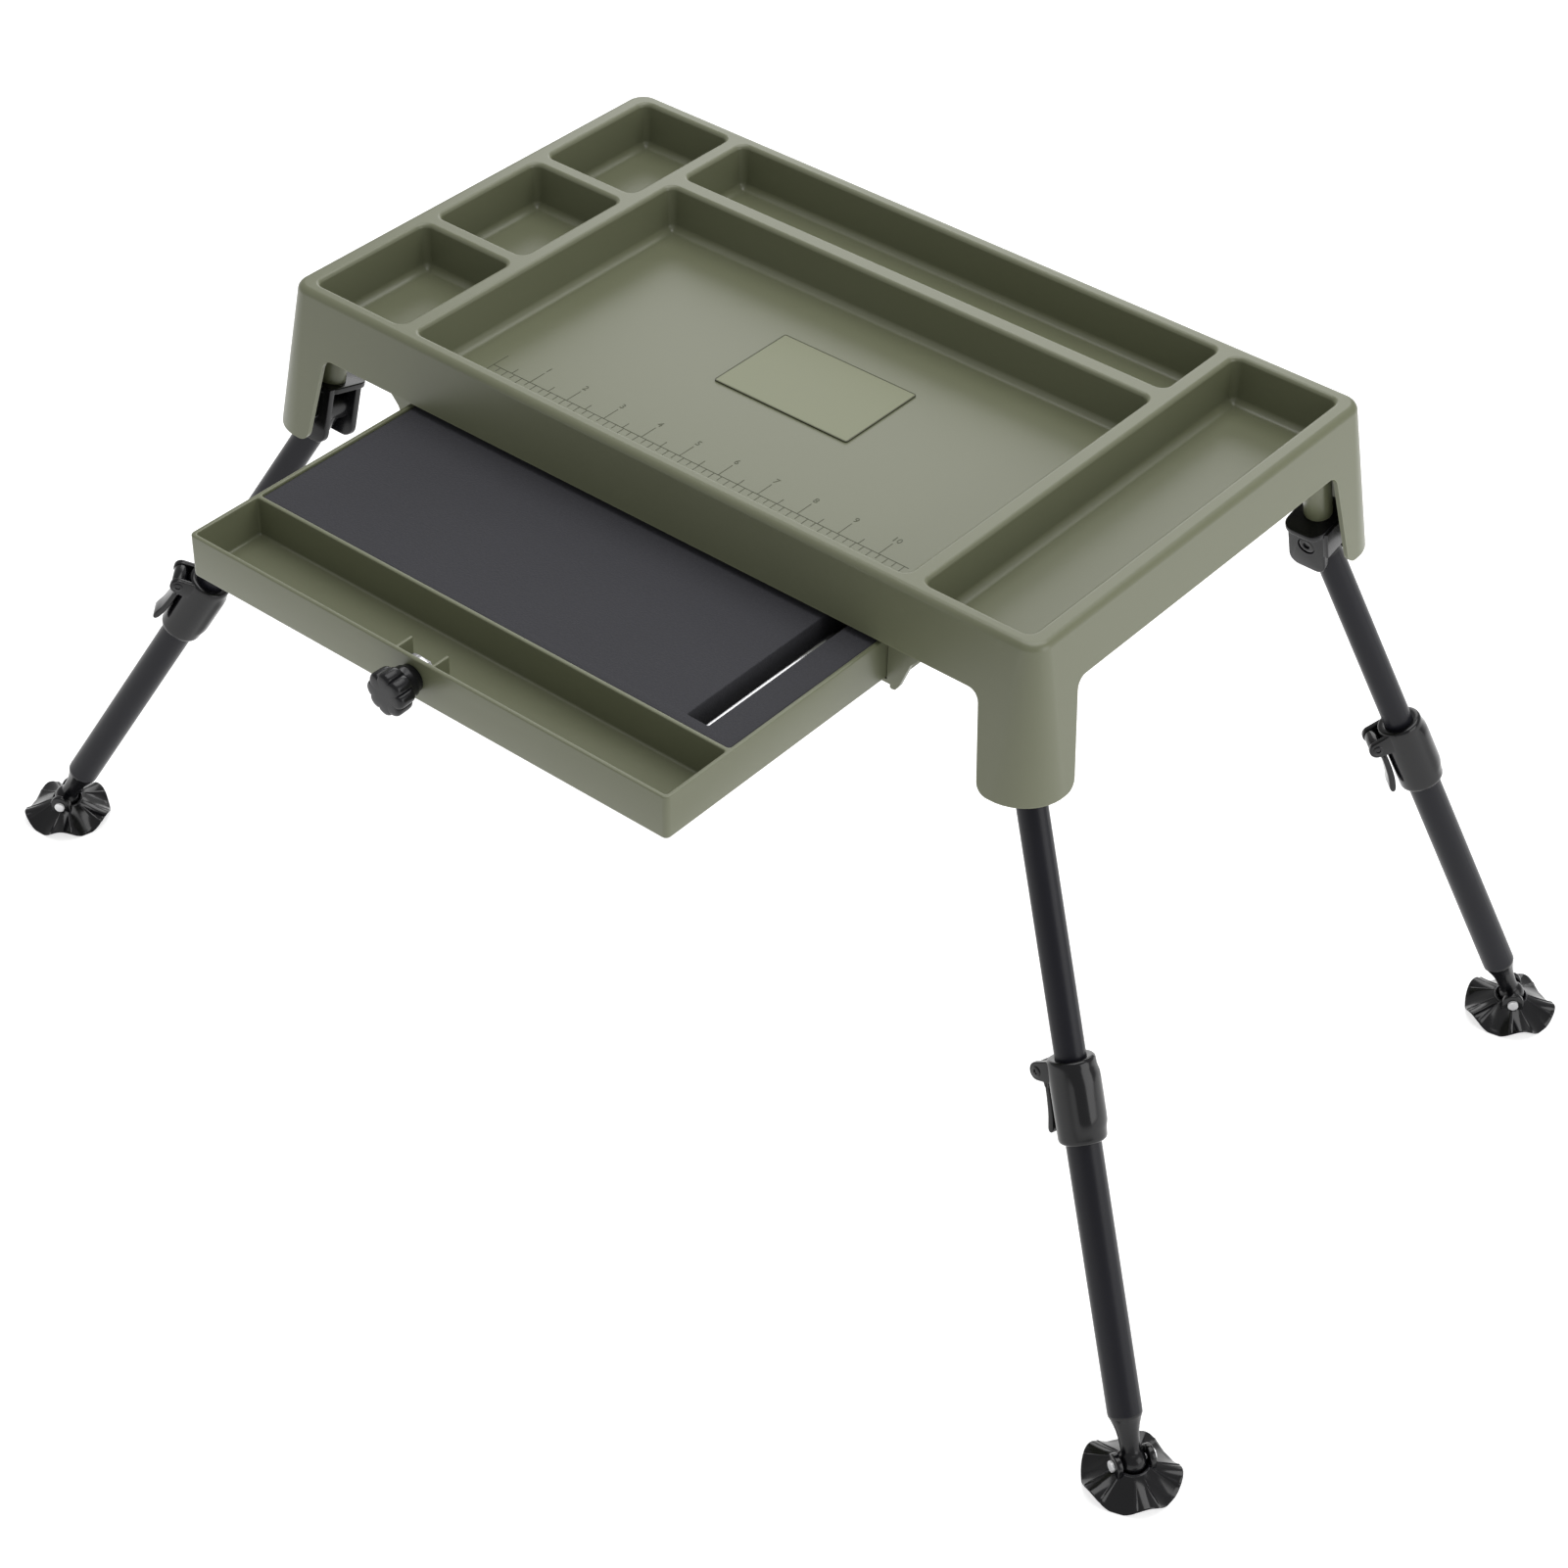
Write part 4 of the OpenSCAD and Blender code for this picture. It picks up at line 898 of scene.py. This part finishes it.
def eased_plate(outline, y0, y1, ease=0.5, steps=4):
    """A closed outline in X and Z, carried along Y from y0 to y1, drawn in over a quarter
    circle at both ends."""
    after, before = np.roll(outline, -1, 0), np.roll(outline, 1, 0)
    area = np.sum(outline[:, 0] * after[:, 1] - after[:, 0] * outline[:, 1])
    along = after - before
    along = along / np.maximum(np.linalg.norm(along, axis=1, keepdims=True), 1e-6)
    inward = np.stack([-along[:, 1], along[:, 0]], 1) * (1 if area > 0 else -1)
    a = np.linspace(0, math.pi / 2, steps)
    draw, place_y = ease * (1 - np.sin(a)), ease * (1 - np.cos(a))
    draw = np.concatenate([draw, draw[::-1]])
    place_y = np.concatenate([y0 + place_y, y1 - place_y[::-1]])
    flat = outline + inward * draw[:, None, None]
    return np.stack([flat[..., 0], np.repeat(place_y[:, None], len(outline), 1), flat[..., 1]], -1)


def revolve(profile, steps):
    """A profile of radius and distance down the leg, turned about the leg's axis."""
    a = np.linspace(0, 2 * math.pi, steps, endpoint=False)
    radius, down = profile[:, :1], profile[:, 1:]
    return np.stack([radius * np.cos(a), radius * np.sin(a), -down + 0 * a], -1)


# %% Collars
PIVOT_OUT, PIVOT_DOWN, EAR_GAP, EAR_T, EAR_R = 16.0, 151.0, 5.9, 3.2, 4.7
COLLAR_R, PAD_H, PAD_AT = 12.05, 1.3, 165.0
COLLAR_SIDE = [[COLLAR_R, down] for down in (147.5, 149.0, 152.0, 156.0, 162.0, 168.0, 173.0,
                                             177.0, 180.0, 183.5)]
COLLAR_PROFILE = np.array([[7.85, 144.3], [10.2, 144.0], [11.2, 144.3], [11.8, 145.0],
                           [12.0, 146.0], *COLLAR_SIDE, [12.0, 184.7], [11.75, 185.5],
                           [11.2, 186.0], [8.85, 186.0], [8.85, 152.2], [7.85, 152.2],
                           [7.85, 144.3]])
ear_end = np.roll(disc(EAR_R, 24), 6, 0)[:13] + [PIVOT_OUT, 0]
ear = np.concatenate([[[6.5, 6.0], [6.5, -5.5]], ear_end])


def padded_collar():
    """The collar's turned form with a flat raised pad on the side away from the lever: the
    radius grows by the pad's height in a window of angle and length, with soft borders."""
    steps = 96
    form = revolve(COLLAR_PROFILE, steps)
    a = np.linspace(0, 2 * math.pi, steps, endpoint=False)
    across = 1 / (1 + np.exp((np.abs(a - math.pi) - 0.85) / 0.05))
    down = 1 / (1 + np.exp((np.abs(COLLAR_PROFILE[:, 1] - PAD_AT) - 14.5) / 0.9))
    outside = COLLAR_PROFILE[:, 0] > 11.9
    grow = 1 + PAD_H / COLLAR_R * (down * outside)[:, None] * across
    form[..., :2] *= grow[..., None]
    return form


for leg, (_, _, lever_turn, _) in LEGS.items():
    at_collar = lower_frame(leg) @ turn("Z", lever_turn)
    ears = [eased_plate(ear, y, y + EAR_T, 0.6) - [0, 0, PIVOT_DOWN]
            for y in (-EAR_GAP - EAR_T, EAR_GAP)]
    stacks = [padded_collar(), *ears]
    piece = solid("collar_shell_" + leg, [carried(s, at_collar) for s in stacks],
                  gloss_black.material)
    soften(piece, 45.0)
    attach(piece, f"leg_{leg}_lower")
    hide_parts("collar_" + leg)
print("collar", count(piece), "triangles each")

# %% Levers
BLADE_IN = COLLAR_R + 0.57 - PIVOT_OUT
BLADE_OUT = BLADE_IN + 3.0
BLADE_HALF, CAM_R = 5.6, 4.1
blade = np.array([[BLADE_IN, -4.8], [BLADE_OUT, -4.8], [BLADE_OUT + 0.1, -9.0],
                  [BLADE_OUT + 0.2, -14.0], [BLADE_OUT + 0.6, -19.0], [BLADE_OUT + 1.1, -23.5],
                  [BLADE_OUT + 2.0, -27.5], [BLADE_OUT + 2.7, -30.6], [BLADE_OUT + 2.0, -32.6],
                  [BLADE_OUT + 0.4, -32.8], [BLADE_OUT - 0.8, -31.0], [BLADE_IN + 1.2, -27.0],
                  [BLADE_IN + 0.6, -23.5], [BLADE_IN + 0.2, -19.0], [BLADE_IN, -14.0],
                  [BLADE_IN, -9.0]])
neck = np.array([[BLADE_IN, -9.0], [BLADE_OUT, -9.0], [BLADE_OUT + 1.2, -3.0],
                 [BLADE_OUT + 1.2, 0.0], [BLADE_IN + 0.6, 1.2], [BLADE_IN, 0.0]])
for leg, (_, _, lever_turn, _) in LEGS.items():
    at_lever = lower_frame(leg) @ turn("Z", lever_turn) @ shift(PIVOT_OUT, 0, -PIVOT_DOWN)
    stacks = [eased_plate(form, -BLADE_HALF, BLADE_HALF, ease) for form, ease in (
        (disc(CAM_R), 0.5), (neck, 0.4), (cut_corners(blade), 1.0))]
    piece = solid("lever_blade_" + leg, [carried(s, at_lever) for s in stacks],
                  gloss_black.material)
    soften(piece, 45.0)
    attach(piece, "lever_" + leg)
    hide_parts(f"lever_{leg}_arm")
print("lever", count(piece), "triangles each")

# %% [markdown]
# The pin through the ears ends in a round head with a small dimple on each side.

# %% Lever pins
PIN_END = EAR_GAP + EAR_T + 0.5


def turned_pin(half):
    """A pin along Y from rings of a radius and a place, from the dimple in one end's face to
    the shank, mirrored to the other end."""
    half = np.array(half)
    both = np.concatenate([half * [1, -1], half[::-1]])
    return np.array([np.insert(disc(r), 1, y, axis=1) for r, y in both])


pin_form = turned_pin([(0.3, PIN_END - 0.7), (1.0, PIN_END - 0.6), (1.3, PIN_END),
                       (2.4, PIN_END), (2.8, PIN_END - 0.3), (2.8, PIN_END - 0.8),
                       (1.4, PIN_END - 0.9)])
for leg, (_, _, lever_turn, _) in LEGS.items():
    at_lever = lower_frame(leg) @ turn("Z", lever_turn) @ shift(PIVOT_OUT, 0, -PIVOT_DOWN)
    piece = solid("lever_axle_" + leg, [carried(pin_form, at_lever)], gloss_black.material)
    soften(piece, 40.0)
    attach(piece, f"leg_{leg}_lower")
    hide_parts("lever_pin_" + leg)
print("lever pin", count(piece), "triangles each")

# %% [markdown]
# ## Mud feet
#
# Each foot is a soft black cup with folds that run out from its hub and lift its edge, so
# that it grips in mud. Two lugs hold the ball between them on a small screw. The cup is one
# closed surface: its height is a crown that sinks outwards, plus folds that grow with the
# distance from the hub, plus thin ridges that catch the light.

# %% Feet
HUB_R, EDGE_R, BALL_H, CROWN, FOLDS, FOLD_H, PHASE = 9.2, 24.6, 13.5, 10.4, 5, 6.2, 0.5
LUG_R, LUG_GAP, LUG_T, BALL_R = 6.2, 7.3, 3.4, 7.0


def fold_height(r, a):
    """Height of the cup's underside over the ground: the crown sinks in a straight cone to
    the edge, and rounded folds rise with a power of the way out."""
    u = np.clip((r - HUB_R + 1) / (EDGE_R - HUB_R + 1), 0, 1)
    wave = (0.5 + 0.5 * np.cos(FOLDS * a + PHASE)) ** 1.3
    return CROWN * (1 - u) * (1 - 0.12 * u) + FOLD_H * u ** 1.5 * wave


def cup(steps=360, rows=12):
    """The cup as a closed tube: out along the top, round the edge and back below. A pair of
    thin ridges runs down each hollow between two folds."""
    a = np.linspace(0, 2 * math.pi, steps, endpoint=False)
    out = np.linspace(HUB_R - 1, EDGE_R, rows)[:, None]
    way = ((out - HUB_R) / (EDGE_R - HUB_R)).clip(0, 1)
    lobed = 1 + 0.03 * np.cos(FOLDS * a + PHASE) * way ** 2
    off = (FOLDS * a + PHASE + math.pi + 0.1 * np.sin(2 * a)) % (2 * math.pi) - math.pi
    ridges = 0.6 * np.exp(-((np.abs(off) - 1.25) / 0.13) ** 2)
    thick = 2.1 - 0.9 * way ** 2
    low = np.maximum(fold_height(out, a) - 0.4, 0.0)
    high = low + thick + ridges * (way * 4).clip(0, 1)
    r = out * lobed
    edge_r, edge_z = r[-1] + 0.45, (low[-1] + high[-1]) / 2
    r = np.concatenate([r, edge_r[None], r[::-1], r[:1]])
    z = np.concatenate([high, edge_z[None], low[::-1], high[:1]])
    return np.stack([r * np.cos(a), r * np.sin(a), z - BALL_H], -1)


lug = np.concatenate([disc(LUG_R, 32)[:17], [[-6.4, -6.5], [6.4, -6.5]]])
hub_rings = np.array([np.column_stack([disc(r, 48), np.full(48, z - BALL_H)])
                      for r, z in ((6.0, 5.0), (HUB_R - 0.4, 5.8), (HUB_R, 7.0), (HUB_R, 11.6),
                                   (HUB_R - 0.2, 12.1), (8.7, 12.3), (8.2, 12.0), (7.7, 11.2),
                                   (6.6, 9.6), (5.1, 7.8), (2.6, 6.3), (0.3, 5.9))])
for leg in LEGS:
    lugs = [eased_plate(lug, y, y + LUG_T, 0.8) for y in (-LUG_GAP - LUG_T, LUG_GAP)]
    stacks = [cup(), hub_rings, *lugs]
    piece = solid("mud_foot_" + leg, [carried(s, foot_frame(leg)) for s in stacks],
                  gloss_black.material)
    soften(piece, 40.0)
    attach(piece, f"foot_{leg}_cup")
    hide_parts("foot_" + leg)
print("foot", count(piece), "triangles each")

# %% Ball studs
STUD_PROFILE = np.array([[0.3, 315.0], [7.7, 315.0], [7.7, 327.1], [8.75, 327.1], [8.75, 328.2],
                         [8.3, 329.0], [7.4, 331.6], [6.6, 334.0], [5.9, 336.8], [5.4, 340.0],
                         [5.1, 344.0], [5.0, 347.0]])
a = np.radians(np.linspace(132, 2, 22))
turned_ball = np.stack([BALL_R * np.sin(a), MIDDLE_REACH + BALL_R * np.cos(a)], 1)
stud_form = revolve(np.concatenate([STUD_PROFILE, turned_ball]), 48)
for leg in LEGS:
    piece = solid("stud_turned_" + leg, [carried(stud_form, lower_frame(leg))], black.material)
    soften(piece, 40.0)
    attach(piece, "stud_" + leg)
    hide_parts("ball_stud_" + leg)
print("stud", count(piece), "triangles each")

# %% [markdown]
# ## Brackets
#
# A hinge bracket is a black moulding: a thick plate under the tray's boss, two cheeks with
# rounded lower corners that hold the pin, and a wall on the outer side that stops the leg. The
# CAD bracket has knife-sharp edges; here each part is a plate with eased edges.

# %% Brackets
CHEEK_GAP, CHEEK_T, CHEEK_W, CHEEK_LOW, CHEEK_R = 8.2, 4.0, 11.0, 16.5, 6.0
CHEEK_OUT = CHEEK_GAP + CHEEK_T
PLATE_LOW, PLATE_TOP, PLATE_LONG, STOP_LOW, STOP_T = 12.0, 15.4, 18.0, 2.5, 2.2
HEAD_R, HEAD_IN, CUT_T = 4.8, 1.6, 3.0
a = np.radians(np.linspace(0, 90, 7))
rounded = np.stack([CHEEK_W - CHEEK_R + CHEEK_R * np.sin(a),
                    -CHEEK_LOW + CHEEK_R - CHEEK_R * np.cos(a)], 1)
cheek = np.concatenate([rounded, [[CHEEK_W, PLATE_TOP - 0.5], [-CHEEK_W, PLATE_TOP - 0.5]],
                        rounded[::-1] * [-1, 1]])
recess = [eased_plate(disc(HEAD_R + 0.3), y, y + CUT_T, 0.2)
          for y in (-CHEEK_OUT - CUT_T + HEAD_IN, CHEEK_OUT - HEAD_IN)]
for leg, (sx, sy, _, _) in LEGS.items():
    plate_y = sorted((sy * (CHEEK_OUT + 0.5), -sy * PLATE_LONG))
    wall_x = sorted((sx * (CHEEK_W - 1.0), sx * (CHEEK_W + STOP_T)))
    stacks = [eased_plate(cheek, y, y + CHEEK_T, 0.7) for y in (-CHEEK_OUT, CHEEK_GAP)]
    stacks += [block((-CHEEK_W - 0.5, CHEEK_W + 0.5), plate_y, (PLATE_LOW, PLATE_TOP),
                     7.0, 0.8, 0.8),
               block(wall_x, (-CHEEK_OUT, CHEEK_OUT), (-STOP_LOW, PLATE_TOP - 0.5), 0.9, 0.9)]
    piece = solid("hinge_bracket_" + leg, [carried(s, hinge_frame(leg)) for s in stacks],
                  black.material)
    cut = solid("recess", [carried(s, hinge_frame(leg)) for s in recess], black.material)
    piece = combine(piece, cut, "DIFFERENCE", self_cut=True)
    soften(piece, 40.0)
    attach(piece, "table")
    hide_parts("bracket_" + leg)
print("bracket", count(piece), "triangles each")

# %% [markdown]
# The pin lies in a round recess of the cheeks, and its heads have a socket for a key.

# %% Hinge pins
head_end = CHEEK_OUT - 0.3
hinge_form = turned_pin([(0.3, head_end - 1.0), (2.0, head_end - 0.9), (2.1, head_end - 0.1),
                         (2.5, head_end), (HEAD_R - 0.5, head_end), (HEAD_R, head_end - 0.4),
                         (HEAD_R, head_end - 1.1), (2.9, head_end - 1.2)])
for leg in LEGS:
    piece = solid("hinge_axle_" + leg, [carried(hinge_form, hinge_frame(leg))],
                  gloss_black.material)
    soften(piece, 40.0)
    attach(piece, "table")
    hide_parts("hinge_pin_" + leg)
print("hinge pin", count(piece), "triangles each")

# %% [markdown]
# ## The rod in the pad's slot
#
# A slim tapered rod of bright steel lies in the pad's slot, held by the foam at both ends. It
# is turned: rings of a growing radius along Y, with eased ends.

# %% Steel rod
ROD_FRONT, ROD_REAR, ROD_SEAT, ROD_SIDE, ROD_DEPTH = 1.5, 2.5, 4.8, 5.0, 7.0
rod_y0, rod_y1 = SLOT_Y[0] - ROD_SEAT, SLOT_Y[1] + ROD_SEAT
rod_form = np.array([np.insert(disc(r), 1, y, axis=1) for r, y in (
    (0.3, rod_y0), (ROD_FRONT - 0.3, rod_y0), (ROD_FRONT, rod_y0 + 0.3),
    (ROD_REAR, rod_y1 - 0.3), (ROD_REAR - 0.3, rod_y1), (0.3, rod_y1))])
rod = solid("tapered_rod", [rod_form + [SLOT_X[1] - ROD_SIDE, 0.0, FOAM_Z[1] - ROD_DEPTH]],
            steel.material)
soften(rod, 40.0)
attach(rod, "drawer")
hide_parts("steel_rod")
print("rod", count(rod), "triangles")

# %% [markdown]
# ## Parts that keep their CAD shape
#
# Tubes, knuckles, screws, and the knob's bolt, washer and nut are plain turned parts, right
# as they are. They only take a finish.

# %% Finishes for CAD nodes
PLAIN = {"knob_bolt": steel, "knob_washer": steel, "knob_nut": steel,
         "bracket_screws": steel}
for leg in LEGS:
    PLAIN.update({"foot_screw_" + leg: zinc, "knuckle_" + leg: black,
                  "upper_tube_" + leg: tube_black, "lower_tube_" + leg: tube_black})
for name, finish in PLAIN.items():
    nodes[name].data.materials.clear()
    nodes[name].data.materials.append(finish.material)
print(len(PLAIN), "CAD nodes finished")
